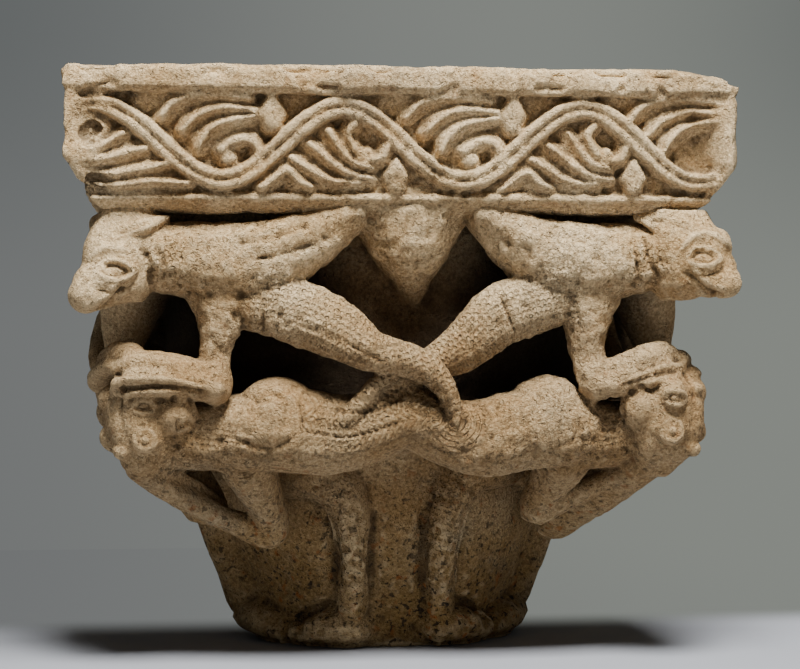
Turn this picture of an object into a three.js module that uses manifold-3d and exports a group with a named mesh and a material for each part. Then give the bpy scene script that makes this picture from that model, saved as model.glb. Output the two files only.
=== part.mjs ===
// A Romanesque column capital, cut from one block of stone.
// From the top it has a square abacus with a waved vine on each side, a ring of winged beasts whose
// serpent tails cross at the middle of each side, and a ring of crouching winged beasts below them.
// Two beasts share each corner head. Behind the figures a bell runs down to the round neck that sat
// on the column shaft. Millimetres, +Z up, the front looks along -Y, origin at the neck's underside.
import * as THREE from "three";
import { mergeVertices } from "three/addons/utils/BufferGeometryUtils.js";
import Module from "manifold-3d";

const wasm = await Module();
wasm.setup();

// Driving dimensions
const abacusWidth = 370;
const abacusHeight = 78;
const basketHeight = 252;
const neckRadius = 79.5;
const neckHeight = 9;
const bellRadius = 110;
const bellShoulderRadius = 130;
const bellFlare = 10;
const collarWidth = 264;
const collarDrop = 26;
const topBandHeight = 15;
const filletHeight = 10;
const filletInset = 13;
const fieldDepth = 13;
const fieldLean = 6;
const postWidth = 14.5;
const chipHeight = 18;
const edgeWear = 3;
const vineWidth = 11;
const vineRelief = 9;
const vinePeriod = 131.5;
const vineFirstCrest = -165.5;
const leafRelief = 8;
const leafLobeWidth = 10;
const budWidth = 12;
const budHeight = 18;
const rootDepth = 2.5;
const hindLegSink = 4;
const brokenCornerDrop = 16;
const brokenCornerLength = 28;

// Levels and widths worked out from them
const halfWidth = abacusWidth / 2;
const blockHeight = basketHeight + abacusHeight;
const fieldTop = blockHeight - topBandHeight;
const fieldBottom = basketHeight + filletHeight;
const fieldHeight = fieldTop - fieldBottom;
const filletHalf = halfWidth - filletInset;
const overlap = 2;

const stone = new THREE.MeshStandardMaterial({
  color: 0xb9a684,
  roughness: 0.9,
  metalness: 0,
});

// A closed three.js geometry as a manifold-3d solid that faces outwards.
function solidOf(geometry) {
  const bare = new THREE.BufferGeometry();
  bare.setAttribute("position", geometry.getAttribute("position"));
  if (geometry.index) bare.setIndex(geometry.index);
  const merged = mergeVertices(bare, 1e-3);
  const triVerts = [];
  for (let i = 0; i < merged.index.count; i += 3) {
    const [a, b, c] = [0, 1, 2].map((k) => merged.index.getX(i + k));
    if (a !== b && b !== c && c !== a) triVerts.push(a, b, c);
  }
  const build = (verts) =>
    new wasm.Manifold(
      new wasm.Mesh({
        numProp: 3,
        vertProperties: new Float32Array(merged.attributes.position.array),
        triVerts: new Uint32Array(verts),
      }),
    );
  const made = build(triVerts);
  return made.volume() < 0 ? build(triVerts.reverse()) : made;
}

const join = (solids) => solids.reduce((whole, piece) => whole.add(piece));

// A solid turned back into a three.js geometry.
function geometryOf(solid) {
  const mesh = solid.getMesh();
  const position = new Float32Array(mesh.numVert * 3);
  for (let i = 0; i < mesh.numVert; i++) {
    const start = i * mesh.numProp;
    position.set(mesh.vertProperties.subarray(start, start + 3), i * 3);
  }
  const geometry = new THREE.BufferGeometry();
  geometry.setAttribute("position", new THREE.BufferAttribute(position, 3));
  geometry.setIndex(new THREE.BufferAttribute(new Uint32Array(mesh.triVerts), 1));
  return geometry;
}

// A point of the front face: mm across to the right, mm up, mm out from the block's axis.
const facePoint = (across, up, out) => new THREE.Vector3(across, -out, up);

// A limb on the front face: oval rings along a smooth curve through its stations, each
// [across, up, out, half-height, half-depth] in mm, closed at both ends. Four sides make a ridge.
function limbMm(stations, sides, steps) {
  const path = new THREE.CatmullRomCurve3(
    stations.map(([across, up, out]) => facePoint(across, up, out)),
  );
  const girth = new THREE.CatmullRomCurve3(
    stations.map(([, , , half, depth]) => new THREE.Vector3(half, depth, 0)),
  );
  const outward = new THREE.Vector3(0, -1, 0);
  const points = [];
  for (let i = 0; i <= steps; i++) {
    const t = i / steps;
    const centre = path.getPoint(t);
    const along = path.getTangent(t);
    const out = outward.clone().addScaledVector(along, -outward.dot(along)).normalize();
    const side = new THREE.Vector3().crossVectors(along, out);
    const { x: half, y: depth } = girth.getPoint(t);
    for (let k = 0; k < sides; k++) {
      const angle = (k / sides) * 2 * Math.PI + (sides === 5 ? Math.PI / 10 : 0);
      points.push(
        centre
          .clone()
          .addScaledVector(side, half * Math.cos(angle))
          .addScaledVector(out, depth * Math.sin(angle)),
      );
    }
  }
  const index = [];
  for (let i = 0; i < steps; i++) {
    for (let k = 0; k < sides; k++) {
      const [a, b] = [i * sides + k, i * sides + ((k + 1) % sides)];
      index.push(a, b, b + sides, a, b + sides, a + sides);
    }
  }
  const last = steps * sides;
  for (let k = 1; k < sides - 1; k++) {
    index.push(0, k + 1, k);
    index.push(last, last + k, last + k + 1);
  }
  return solidOf(new THREE.BufferGeometry().setFromPoints(points).setIndex(index));
}

// The same, with each number a percentage: up of the basket's height, the others of the half width.
const share = (value) => (value / 100) * halfWidth;
const rise = (value) => (value / 100) * basketHeight;
const limb = (stations, sides, steps) =>
  limbMm(
    stations.map(([a, u, o, h, d]) => [share(a), rise(u), share(o), share(h), share(d)]),
    sides,
    steps,
  );

// A rounded lump at a face point, in the same percentages.
function lump([across, up, out], [ra, ru, ro], shape = new THREE.OctahedronGeometry(1, 0)) {
  shape.scale(share(ra), share(ro), share(ru));
  const { x, y, z } = facePoint(share(across), rise(up), share(out));
  return solidOf(shape.translate(x, y, z));
}

// How finely a side is cut: the front carries the finest work, the other three are plainer.
const frontWork = {
  bodySides: 6,
  bodySteps: 4,
  legSides: 5,
  legSteps: 3,
  tailSteps: 5,
  headSides: 8,
  toes: 2,
  feathers: 3,
  strands: 2,
  vineSteps: 8,
  lobes: 4,
  curls: 3,
};
const plainWork = {
  bodySides: 5,
  bodySteps: 3,
  legSides: 4,
  legSteps: 2,
  tailSteps: 4,
  headSides: 4,
  toes: 1,
  feathers: 0,
  strands: 1,
  vineSteps: 6,
  lobes: 2,
  curls: 0,
};

// A square block turned on the axis: [half width, height] pairs from the bottom up.
function squareTurned(profile) {
  const points = [
    new THREE.Vector2(0, profile[0][1]),
    ...profile.map(([half, z]) => new THREE.Vector2(half * Math.SQRT2, z)),
    new THREE.Vector2(0, profile.at(-1)[1]),
  ];
  const shape = new THREE.LatheGeometry(points, 4, Math.PI / 4);
  return solidOf(shape.rotateX(Math.PI / 2));
}

// The bell's radius at a height, from the neck to the flare under the abacus.
const bellProfile = [
  [neckRadius - 1.5, 0],
  [neckRadius, 0.3 * neckHeight],
  [neckRadius, neckHeight],
  [neckRadius + 0.2 * (bellRadius - neckRadius), 0.11 * basketHeight],
  [neckRadius + 0.6 * (bellRadius - neckRadius), 0.24 * basketHeight],
  [bellRadius, 0.46 * basketHeight],
  [bellShoulderRadius, 0.68 * basketHeight],
  [bellShoulderRadius + bellFlare, 0.97 * basketHeight],
  [bellShoulderRadius + bellFlare, basketHeight + overlap],
];
function bellAt(height) {
  const above = bellProfile.findIndex(([, z]) => z >= height);
  if (above <= 0) return bellProfile[0][0];
  const [r0, z0] = bellProfile[above - 1];
  const [r1, z1] = bellProfile[above];
  return r0 + ((r1 - r0) * (height - z0)) / (z1 - z0);
}

function bell() {
  const outline = bellProfile.map(([radius, z]) => new THREE.Vector2(radius, z));
  const bottom = new THREE.Vector2(0, 0);
  const top = new THREE.Vector2(0, basketHeight + overlap);
  const shape = new THREE.LatheGeometry([bottom, ...outline, top], 20);
  return solidOf(shape.rotateX(Math.PI / 2));
}

// How far out the sunk field of the abacus lies at a height.
const fieldOut = (up) => {
  const fallen = (fieldTop - up) / fieldHeight;
  return halfWidth - fieldDepth - fieldLean * fallen;
};

// The abacus without its vine: sunk core, plain top band, lower fillet, four corner posts, and the
// square collar of uncut stone under it, behind the upper beasts.
function abacus() {
  const underside = basketHeight - overlap;
  const core = squareTurned([
    [filletHalf - fieldDepth, underside],
    [fieldOut(fieldBottom), fieldBottom],
    [fieldOut(fieldTop), fieldTop + overlap],
  ]);
  const band = squareTurned([
    [halfWidth - edgeWear, fieldTop],
    [halfWidth, fieldTop + edgeWear],
    [halfWidth, blockHeight - edgeWear],
    [halfWidth - edgeWear, blockHeight],
  ]);
  const fillet = squareTurned([
    [filletHalf - edgeWear, underside + overlap],
    [filletHalf, underside + overlap + edgeWear],
    [filletHalf, fieldBottom - edgeWear],
    [filletHalf - edgeWear, fieldBottom],
  ]);
  const post = (cornerX, cornerY) => {
    const shape = new THREE.BoxGeometry(1, 1, 1, 1, 1, 2);
    const position = shape.getAttribute("position");
    const chipTop = fieldBottom + chipHeight;
    for (let i = 0; i < position.count; i++) {
      const level = 2 * position.getZ(i);
      const outer = level < 0 ? filletHalf - overlap : halfWidth;
      const up = [basketHeight + edgeWear, chipTop, fieldTop + overlap][level + 1];
      const inner = Math.min(fieldOut(up), fieldOut(fieldTop)) - overlap;
      const place = (value) => (value > 0 ? outer : inner);
      position.setXYZ(i, cornerX * place(position.getX(i)), cornerY * place(position.getY(i)), up);
    }
    return solidOf(shape);
  };
  const posts = [-1, 1].flatMap((x) => [-1, 1].map((y) => post(x, y)));
  const collar = squareTurned([
    [collarWidth / 2 - 0.6 * collarDrop, basketHeight - collarDrop],
    [collarWidth / 2, fieldBottom],
  ]);
  return join([core, band, fillet, collar, ...posts]);
}

// The vine's centre height: a wave with a crest at vineFirstCrest and every period after it.
const vineMiddle = fieldBottom + fieldHeight / 2;
const vineSwing = (fieldHeight - vineWidth) / 2 - 1;
const vineUp = (across) =>
  vineMiddle + vineSwing * Math.cos(((across - vineFirstCrest) / vinePeriod) * 2 * Math.PI);

// The relief is rooted this far inside the field, and spreads to its width at the surface.
const rooted = (relief) => (relief + rootDepth) / relief;

function vine(work) {
  const end = halfWidth - postWidth + overlap;
  const count = Math.round(((2 * end) / vinePeriod) * work.vineSteps);
  const sides = work.strands === 2 ? [-1, 1] : [0];
  const half = work.strands === 2 ? 0.245 * vineWidth : 0.5 * vineWidth * rooted(vineRelief);
  const strands = sides.map((side) => {
    const stations = [];
    for (let i = 0; i <= count; i++) {
      const across = -end + (2 * end * i) / count;
      const slope = (vineUp(across + 1) - vineUp(across - 1)) / 2;
      const shift = (side * vineWidth) / 4 / Math.hypot(1, slope);
      const up = vineUp(across) + shift;
      const out = fieldOut(up) - rootDepth;
      stations.push([across - shift * slope, up, out, half, vineRelief + rootDepth]);
    }
    return limbMm(stations, 4, count);
  });
  return join(strands);
}

// A half-palmette in a bay of the vine: lobes whose roots gather on the right and whose tips fan
// out to the left, a curl at the root and a bud beyond it. Shares of the field's height, measured
// from the middle of the bay.
const hangingLeaf = {
  firstTip: [-0.72, 0.8],
  lastTip: [-0.12, 0.36],
  firstRoot: [0.24, 0.9],
  lastRoot: [0.4, 0.5],
  curl: [0.16, 0.36],
  bud: [0.6, 0.84],
};
const standingLeaf = {
  firstTip: [-0.66, 0.16],
  lastTip: [-0.02, 0.68],
  firstRoot: [0.36, 0.07],
  lastRoot: [0.3, 0.44],
  curl: [0.36, 0.52],
  bud: [0.76, 0.17],
};

// A pointed lobe: a stretched octahedron that lies in the field between two points.
function lobe([fromX, fromZ], [toX, toZ], half, relief) {
  const shape = new THREE.OctahedronGeometry(1, 0);
  const halfLength = Math.hypot(toX - fromX, toZ - fromZ) / 2;
  const spread = rooted(relief);
  shape.scale(halfLength * spread, relief + rootDepth, half * spread);
  shape.rotateY(-Math.atan2(toZ - fromZ, toX - fromX));
  const middleZ = (fromZ + toZ) / 2;
  const { x, y, z } = facePoint((fromX + toX) / 2, middleZ, fieldOut(middleZ) - rootDepth);
  return solidOf(shape.translate(x, y, z));
}

function leaf(kind, middle, flip, work) {
  const limit = halfWidth - postWidth;
  const at = ([across, up]) => [
    middle + flip * across * fieldHeight,
    fieldBottom + up * fieldHeight,
  ];
  const inside = ([across]) => Math.abs(across) < limit;
  const between = (from, to, t) => from.map((value, axis) => value + (to[axis] - value) * t);
  const half = (leafLobeWidth / 2) * (4 / work.lobes) ** 0.8;
  const pieces = [];
  for (let i = 0; i < work.lobes; i++) {
    const t = i / (work.lobes - 1);
    const tip = at(between(kind.firstTip, kind.lastTip, t));
    const root = at(between(kind.firstRoot, kind.lastRoot, t));
    if (inside(tip) && inside(root)) pieces.push(lobe(tip, root, half, leafRelief));
  }
  const knob = (spot, wide, high) => {
    const [x, z] = at(spot);
    if (inside([x])) pieces.push(lobe([x - wide, z], [x + wide, z], high, leafRelief));
  };
  if (work.curls) {
    knob(kind.bud, budWidth / 2, budHeight / 2);
    knob(kind.curl, 0.8 * leafLobeWidth, 0.8 * leafLobeWidth);
  }
  return pieces;
}

// Every bay of the vine holds a leaf: under a crest it stands, over a trough it hangs.
function foliage(work) {
  const pieces = [];
  const bays = Math.ceil((halfWidth - vineFirstCrest) / (vinePeriod / 2));
  for (let bay = 0; bay < bays; bay++) {
    const middle = vineFirstCrest + (bay * vinePeriod) / 2;
    const kind = bay % 2 ? hangingLeaf : standingLeaf;
    const atCorner = bay === 0;
    pieces.push(...leaf(kind, middle + (atCorner ? 0.6 * fieldHeight : 0), atCorner ? -1 : 1, work));
  }
  return pieces;
}

// The rough boss at the middle of each side, under the abacus.
function boss() {
  return limb(
    [
      [3, 101.5, 76, 19.5, 16],
      [3, 95, 75, 15, 15],
      [4, 88, 71, 9, 11],
      [5, 81, 68, 4, 6],
    ],
    5,
    2,
  );
}

// Upper beasts, standing left and right. Stations are percentages, as limb() takes them.
const upperLeft = {
  body: [
    [-78, 90.5, 81, 9, 12],
    [-66, 90, 79, 11, 15],
    [-53, 89, 78, 12, 16],
    [-40, 89.5, 78, 11.4, 15],
    [-26, 94, 80, 8, 11],
    [-14, 99.5, 82, 5, 8],
  ],
  wing: [
    [-60, 90, 88, 7.5, 6],
    [-44, 92, 90, 9, 6],
    [-28, 94.5, 90, 7.5, 5],
    [-12, 101, 90, 4, 4],
  ],
  leg: [
    [-54, 83, 80, 11, 11],
    [-54, 76, 82, 7, 8.5],
    [-55.5, 69, 83, 4.8, 6],
    [-55.5, 62, 85, 5.4, 6.5],
  ],
  toes: [
    [
      [-56, 64, 86, 4.8, 6],
      [-72, 66.5, 87, 4.2, 5.5],
      [-88, 63.5, 88, 3.6, 4.5],
    ],
    [
      [-56, 61.5, 89, 4, 5],
      [-70, 62.8, 90.5, 3.4, 4.5],
      [-86, 60.5, 90.5, 2.8, 4],
    ],
  ],
  tail: [
    [-45, 80, 81, 8, 9],
    [-33, 78.5, 84, 10, 9],
    [-20, 74.5, 87, 9.2, 8],
    [-10, 70, 90, 6.4, 7],
    [0, 68, 91, 5.2, 5.5],
    [8, 65.3, 91, 4.6, 4.8],
    [13.5, 60, 90, 3.4, 4],
    [15.6, 54.5, 88.5, 2.4, 3.5],
  ],
};
const upperRight = {
  body: [
    [79, 90.5, 81, 9, 12],
    [68, 90, 79, 11, 15],
    [56, 89, 78, 12, 16],
    [45, 90, 78, 11.4, 15],
    [34, 94, 80, 8, 11],
    [25, 99, 82, 5, 8],
  ],
  wing: [
    [63, 90, 88, 8, 6],
    [50, 91.5, 90, 10, 6],
    [37, 94, 90, 8, 5],
    [24, 100, 90, 4, 4],
  ],
  leg: [
    [57, 83, 80, 11, 11],
    [56.5, 76, 82, 7, 8.5],
    [56.5, 69, 83, 4.8, 6],
    [59, 62.5, 85, 5.4, 6.5],
  ],
  toes: [
    [
      [60, 64, 86, 4.8, 6],
      [75, 69, 87, 4.4, 5.5],
      [88, 69, 88, 3.8, 4.5],
    ],
    [
      [61, 61.5, 89, 4, 5],
      [75, 65.2, 90.5, 3.4, 4.5],
      [87, 66, 90.5, 2.8, 4],
    ],
  ],
  tail: [
    [52, 82, 80, 7, 8],
    [40, 80.5, 82, 9.5, 8.5],
    [28.5, 77, 83, 9.2, 8],
    [18.6, 70.8, 83, 7.6, 6.8],
    [10, 67, 83, 5.4, 5.2],
    [2, 64.5, 84, 3.8, 4.2],
    [-9, 61, 87, 3.4, 4],
    [-17.7, 54.6, 88, 2.8, 3.5],
  ],
};

const upperBeast = (beast, work) => [
  limb(beast.body, work.bodySides, work.bodySteps),
  ...(work.curls ? [limb(beast.wing, 4, work.legSteps)] : []),
  limb(beast.leg, work.legSides, work.legSteps),
  ...beast.toes.slice(0, work.toes).map((toe) => limb(toe, 4, 2)),
  limb(beast.tail, work.legSides, work.tailSteps),
];

// Lower beasts: body along the bell, folded wing, hind leg to the neck, bent foreleg, corner head.
const lowerLeft = {
  body: [
    [-68, 51, 71, 10, 14],
    [-52, 51.5, 71, 11.5, 16],
    [-36, 52, 71, 12.5, 16.5],
    [-20, 50.5, 71, 11, 15],
    [-6, 53, 71, 9, 14],
    [3, 55, 71, 8, 13],
  ],
  shoulder: [-39, 57.5, 83],
  feathers: [
    [
      [-38, 58.5, 85, 5, 6],
      [-18, 56, 86, 5, 5.5],
      [1, 59.5, 87, 4, 5],
    ],
    [
      [-35, 52.5, 86, 5, 5.5],
      [-18, 50.5, 87, 5, 5.5],
      [1, 55.5, 87, 4, 5],
    ],
    [
      [-34, 47, 83, 4.6, 6],
      [-18, 45.5, 85, 4.4, 5.5],
      [1, 51.5, 85, 4, 5],
    ],
  ],
  hindLeg: [
    [-20, 44, 0, 11.5, 9],
    [-14, 35, 0, 7.6, 8],
    [-12, 24, 0, 5.6, 7.5],
    [-11.5, 9, 0, 5.6, 7],
  ],
  paw: [
    [-12, 7.5, 0, 6.4, 7.5],
    [-30, 6.5, 0, 5, 6.5],
  ],
  foreleg: [
    [-46, 45, 71, 8.5, 10],
    [-40.5, 36, 62, 6.2, 8],
    [-38, 28, 55, 5, 7],
    [-50, 31, 58, 4, 6.5],
    [-64, 36.5, 66, 4, 6],
    [-78, 44, 76, 4.2, 6],
  ],
};
const lowerRight = {
  body: [
    [70, 51, 71, 10, 14],
    [56, 51, 71, 11.5, 16],
    [40, 52, 71, 12, 16.5],
    [24, 50.5, 71, 11, 15],
    [10, 52.5, 71, 9, 14],
    [1, 55, 71, 8, 13],
  ],
  shoulder: [45, 57.5, 83],
  feathers: [
    [
      [44, 58, 85, 5, 6],
      [23, 55.5, 86, 5, 5.5],
      [3, 59.5, 86, 4, 5],
    ],
    [
      [41, 52, 85, 5, 5.5],
      [22, 50, 86, 5, 5.5],
      [3, 55.5, 86, 4, 5],
    ],
    [
      [39, 46.5, 83, 4.6, 6],
      [21, 45, 84, 4.4, 5.5],
      [3, 51.5, 85, 4, 5],
    ],
  ],
  hindLeg: [
    [25, 44, 0, 11.5, 9],
    [18.5, 35, 0, 7.6, 8],
    [16.3, 24, 0, 5.8, 7.5],
    [16, 9, 0, 5.8, 7],
  ],
  paw: [
    [16, 7.5, 0, 6.6, 7.5],
    [31, 6.5, 0, 5, 6.5],
  ],
  foreleg: [
    [52, 46, 72, 8.5, 10],
    [48, 39, 63, 6.4, 8],
    [45.5, 32.5, 57, 5, 7],
    [55, 36, 61, 3.8, 6.5],
    [67, 40.5, 69, 3.8, 6],
    [81, 46, 78, 4, 6],
  ],
};

// Stations of a leg that lies on the bell: their middles are sunk in its surface.
const onBell = (stations) =>
  stations.map(([across, up, , half, depth]) => {
    const radius = bellAt(rise(up));
    const inward = Math.sqrt(Math.max(radius ** 2 - share(across) ** 2, 0));
    return [across, up, ((inward - hindLegSink) / halfWidth) * 100, half, depth];
  });

const lowerBeast = (beast, work) => [
  limb(beast.body, work.bodySides, work.bodySteps),
  lump(beast.shoulder, [9, 9.5, 7], new THREE.IcosahedronGeometry(1, 0)),
  ...beast.feathers.slice(0, work.feathers).map((feather) => limb(feather, 4, 2)),
  limb(onBell(beast.hindLeg), work.legSides, work.legSteps),
  limb(onBell(beast.paw), 4, 1),
  limb(beast.foreleg, 4, work.tailSteps),
];

// A head at the front left corner: rings of so many sides, [out along both faces, up, half-width]
// in percent, from the chin to the crown.
function headBlock(levels, sides) {
  const outline = levels.map(([, up, half]) => new THREE.Vector2(share(half), rise(up)));
  const bottom = new THREE.Vector2(0, outline[0].y);
  const top = new THREE.Vector2(0, outline.at(-1).y);
  const shape = new THREE.LatheGeometry([bottom, ...outline, top], sides, Math.PI / sides);
  const acrossFlats = 1 / Math.cos(Math.PI / sides);
  shape.scale(acrossFlats, 1, acrossFlats).rotateX(Math.PI / 2);
  const position = shape.getAttribute("position");
  for (let i = 0; i < position.count; i++) {
    const height = position.getZ(i);
    const nearest = levels.reduce((best, level) =>
      Math.abs(rise(level[1]) - height) < Math.abs(rise(best[1]) - height) ? level : best,
    );
    const out = share(nearest[0]);
    position.setXY(i, position.getX(i) - out, position.getY(i) - out);
  }
  return solidOf(shape);
}

// A shape on the left end of the front face and its twin round the corner on the left face.
const bothSides = (make) => [
  make(([across, up, out, ...rest]) => [-across, up, out, ...rest]),
  make(([across, up, out, ...rest]) => [-out, up, across, ...rest]),
];

const brow = (at) => limb([at([72, 93.4, 88, 2, 3]), at([91, 94, 91, 3, 4])], 4, 1);

// What the two corners of the front have of their own. The muzzle runs out along the diagonal, in
// stations of [out along both faces, up, half-height]. The lower head stands out further by shift.
const leftCorner = {
  muzzle: [
    [82, 85.5, 8],
    [90, 82.5, 7],
    [94.5, 81.3, 4.6],
  ],
  brow: [84, 91, 93.5],
  shift: 0,
};
const rightCorner = {
  muzzle: [
    [84, 88, 8],
    [92, 85.5, 7.4],
    [96, 84.5, 4.6],
  ],
  brow: [94, 94.2, 94],
  shift: 4.5,
};

const upperHead = (kind, work) => [
  headBlock(
    [
      [82, 80.5, 5],
      [84, 84.5, 10.6],
      [84.5, 91, 11.2],
      [84, 101, 9.6],
    ],
    work.headSides,
  ),
  limb(kind.muzzle.map(([out, up, half]) => [-out, up, out, half, half]), work.legSides, 2),
  ...bothSides((at) => lump(at([86.5, 87.8, 94.5]), [4.4, 2.4, 2])),
  ...bothSides((at) => lump(at(kind.brow), [4.4, 4.4, 3])),
  ...(work.curls ? bothSides((at) => brow(at)) : []),
  ...bothSides((at) => limb([at([68, 97.5, 86, 2.6, 3.4]), at([84, 97.5, 88, 4, 5])], 4, 1)),
];

// The lower heads carry a row of mane curls down the corner.
const lowerHead = ({ shift }, work) => {
  const curls = [];
  for (let i = 0; i < work.curls; i++) {
    const shape = new THREE.IcosahedronGeometry(1, 0);
    curls.push(lump([-85 - shift, 60 - 5 * i, 85 + shift], [4, 4, 4], shape));
  }
  return [
    headBlock(
      [
        [74 + shift, 43, 4.5],
        [76 + shift, 48.5, 10.5],
        [76 + shift, 57, 11.4],
        [75 + shift, 63, 9],
      ],
      work.headSides,
    ),
    ...bothSides((at) => lump(at([66 + shift, 56, 84]), [5.6, 6, 5], new THREE.IcosahedronGeometry(1, 0))),
    ...bothSides((at) => lump(at([76.5 + shift, 50.8, 86 + shift]), [3.4, 3.4, 2.6])),
    ...curls,
  ];
};

const corner = (kind, work) => join([...upperHead(kind, work), ...lowerHead(kind, work)]);

const face = (work) =>
  join([
    boss(),
    vine(work),
    ...foliage(work),
    ...upperBeast(upperLeft, work),
    ...upperBeast(upperRight, work),
    ...lowerBeast(lowerLeft, work),
    ...lowerBeast(lowerRight, work),
  ]);

// The worn top corner at the front right, cut away by a block that dips along the diagonal.
function brokenCorner() {
  const reach = 4 * brokenCornerLength;
  const cut = new THREE.BoxGeometry(reach, abacusWidth, reach);
  cut.translate(0, 0, reach / 2);
  cut.rotateY(Math.atan2(brokenCornerDrop, brokenCornerLength));
  cut.translate(halfWidth * Math.SQRT2 - brokenCornerLength, 0, blockHeight);
  cut.rotateZ(-Math.PI / 4);
  return solidOf(cut);
}

const front = face(frontWork);
const plain = face(plainWork);
const others = [1, 2, 3].map((quarter) => plain.rotate([0, 0, 90 * quarter]));
const corners = [
  corner(leftCorner, frontWork),
  corner(rightCorner, frontWork),
  corner(leftCorner, plainWork),
  corner(leftCorner, plainWork),
].map((stones, quarter) => stones.rotate([0, 0, 90 * quarter]));
const block = join([bell(), abacus()]);
const whole = join([block, front, ...others, ...corners]).subtract(brokenCorner());

const capital = new THREE.Mesh(geometryOf(whole), stone);
capital.name = "capital";

const group = new THREE.Group();
group.add(capital);

export default group;
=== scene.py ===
"""A weathered Romanesque column capital: a vine-scroll abacus over two tiers of winged beasts.

Lengths are metres. The carving is laid out on the front side in face places: (across, up, out), where
across runs to the right and out runs towards the viewer, both in percent of the block's half width,
and up is in percent of the height of the basket below the abacus.
"""

import logging
import math
from dataclasses import dataclass
from enum import Enum
from typing import Callable, Sequence

import bmesh
import bpy
import numpy as np
from mathutils import Matrix, Vector


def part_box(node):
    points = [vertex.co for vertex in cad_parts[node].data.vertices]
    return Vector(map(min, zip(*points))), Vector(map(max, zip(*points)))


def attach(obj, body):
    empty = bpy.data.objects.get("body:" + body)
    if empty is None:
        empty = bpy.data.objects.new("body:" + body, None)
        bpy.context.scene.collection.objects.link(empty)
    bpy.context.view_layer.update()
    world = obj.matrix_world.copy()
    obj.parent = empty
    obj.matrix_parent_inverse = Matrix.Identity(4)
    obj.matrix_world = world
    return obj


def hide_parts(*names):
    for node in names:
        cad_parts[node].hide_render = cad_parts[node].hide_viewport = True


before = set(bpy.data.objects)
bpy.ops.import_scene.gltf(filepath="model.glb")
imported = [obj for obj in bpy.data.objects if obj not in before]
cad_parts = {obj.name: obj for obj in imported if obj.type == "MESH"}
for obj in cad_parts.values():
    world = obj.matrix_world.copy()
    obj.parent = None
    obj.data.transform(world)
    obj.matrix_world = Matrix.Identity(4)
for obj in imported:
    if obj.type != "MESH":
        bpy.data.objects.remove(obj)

LOG = logging.getLogger("capital")
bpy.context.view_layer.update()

Flat = tuple[float, float]
Place = tuple[float, float, float]
Station = tuple[float, float, float, float, float]

ABACUS_HEIGHT = 0.078
TOP_BAND_HEIGHT = 0.015
FILLET_HEIGHT = 0.010
FILLET_INSET = 0.013
FIELD_DEPTH = 0.013
FIELD_LEAN = 0.006
EDGE_WEAR = 0.003
CHIP_HEIGHT = 0.018
CHIP_DEPTH = 0.015
COLLAR_HALF = 0.132
COLLAR_DROP = 0.026
JOIN_OVERLAP = 0.003
NECK_RADIUS = 0.0795
VINE_PERIOD = 0.1315
VINE_FIRST_CREST = -0.1655
VINE_WIDTH = 0.0115
HIND_LEG_SINK = 0.004
THINNEST_LIMB = 0.0004
DOME_ANGLES = (75, 50, 25)
POINTS_PER_STATION = 6
FACES_FRONT = -0.1
NOISE_AXES = np.array(Matrix.Rotation(1.0, 3, Vector((0.48, 0.62, 0.62))))
NOISE_SHIFT = 1000.0
NOISE_PRIMES = (73856093, 19349663, 83492791, 2654435761)
NOISE_SCRAMBLE = 1274126177
NOISE_RANGE = 0x7FFFFFFF


class Work(Enum):
    """How finely a side is carved."""

    FINE = "fine"
    PLAIN = "plain"


class Pattern(Enum):
    """A fine carved pattern that follows a limb, and the name of its mask on the stone."""

    SCALES = "scales"
    BARBS = "barbs"
    TUFTS = "tufts"


@dataclass(frozen=True)
class Block:
    """The stone block, as the frame gives it.

    Attributes:
        half: Half the width of the abacus.
        height: The whole height.
    """

    half: float
    height: float

    @property
    def basket(self) -> float:
        """Returns the height below the abacus."""
        return self.height - ABACUS_HEIGHT

    @property
    def field_top(self) -> float:
        """Returns the height of the sunk field's upper edge."""
        return self.height - TOP_BAND_HEIGHT

    @property
    def field_bottom(self) -> float:
        """Returns the height of the sunk field's lower edge."""
        return self.basket + FILLET_HEIGHT

    @property
    def field_height(self) -> float:
        """Returns how tall the sunk field is."""
        return self.field_top - self.field_bottom

    def field_out(self, height: float) -> float:
        """Returns how far out the sunk field lies at a height."""
        fallen = (self.field_top - height) / self.field_height
        return self.half - FIELD_DEPTH - FIELD_LEAN * fallen

    def corner_out(self, height: float) -> float:
        """Returns how far out the uncarved corners reach at a height, broken away below."""
        heights = (self.basket + EDGE_WEAR, self.field_bottom + CHIP_HEIGHT)
        return np.interp(height, heights, (self.half - CHIP_DEPTH, self.half))

    def point(self, place: Sequence[float]) -> Vector:
        """Returns a face place as a point in metres on the front side."""
        across, up, out = place[:3]
        return Vector((across * self.half, -out * self.half, up * self.basket)) / 100

    def share(self, percent: float) -> float:
        """Returns a percentage of the half width in metres."""
        return percent * self.half / 100


def smooth_path(stations: np.ndarray, count: int) -> np.ndarray:
    """Runs a smooth curve through stations.

    Args:
        stations: One row for each station.
        count: How many points the curve gets.

    Returns:
        The curve's points, one row each.
    """
    first = 2 * stations[0] - stations[1]
    last = 2 * stations[-1] - stations[-2]
    knots = np.vstack([first, stations, last])
    places = np.linspace(0, len(stations) - 1, count)
    spans = np.minimum(places.astype(int), len(stations) - 2)
    t = (places - spans)[:, None]
    a, b, c, d = (knots[spans + k] for k in range(4))
    return 0.5 * (2 * b + (c - a) * t + (2 * a - 5 * b + 4 * c - d) * t**2 + (3 * (b - c) + d - a) * t**3)


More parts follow.
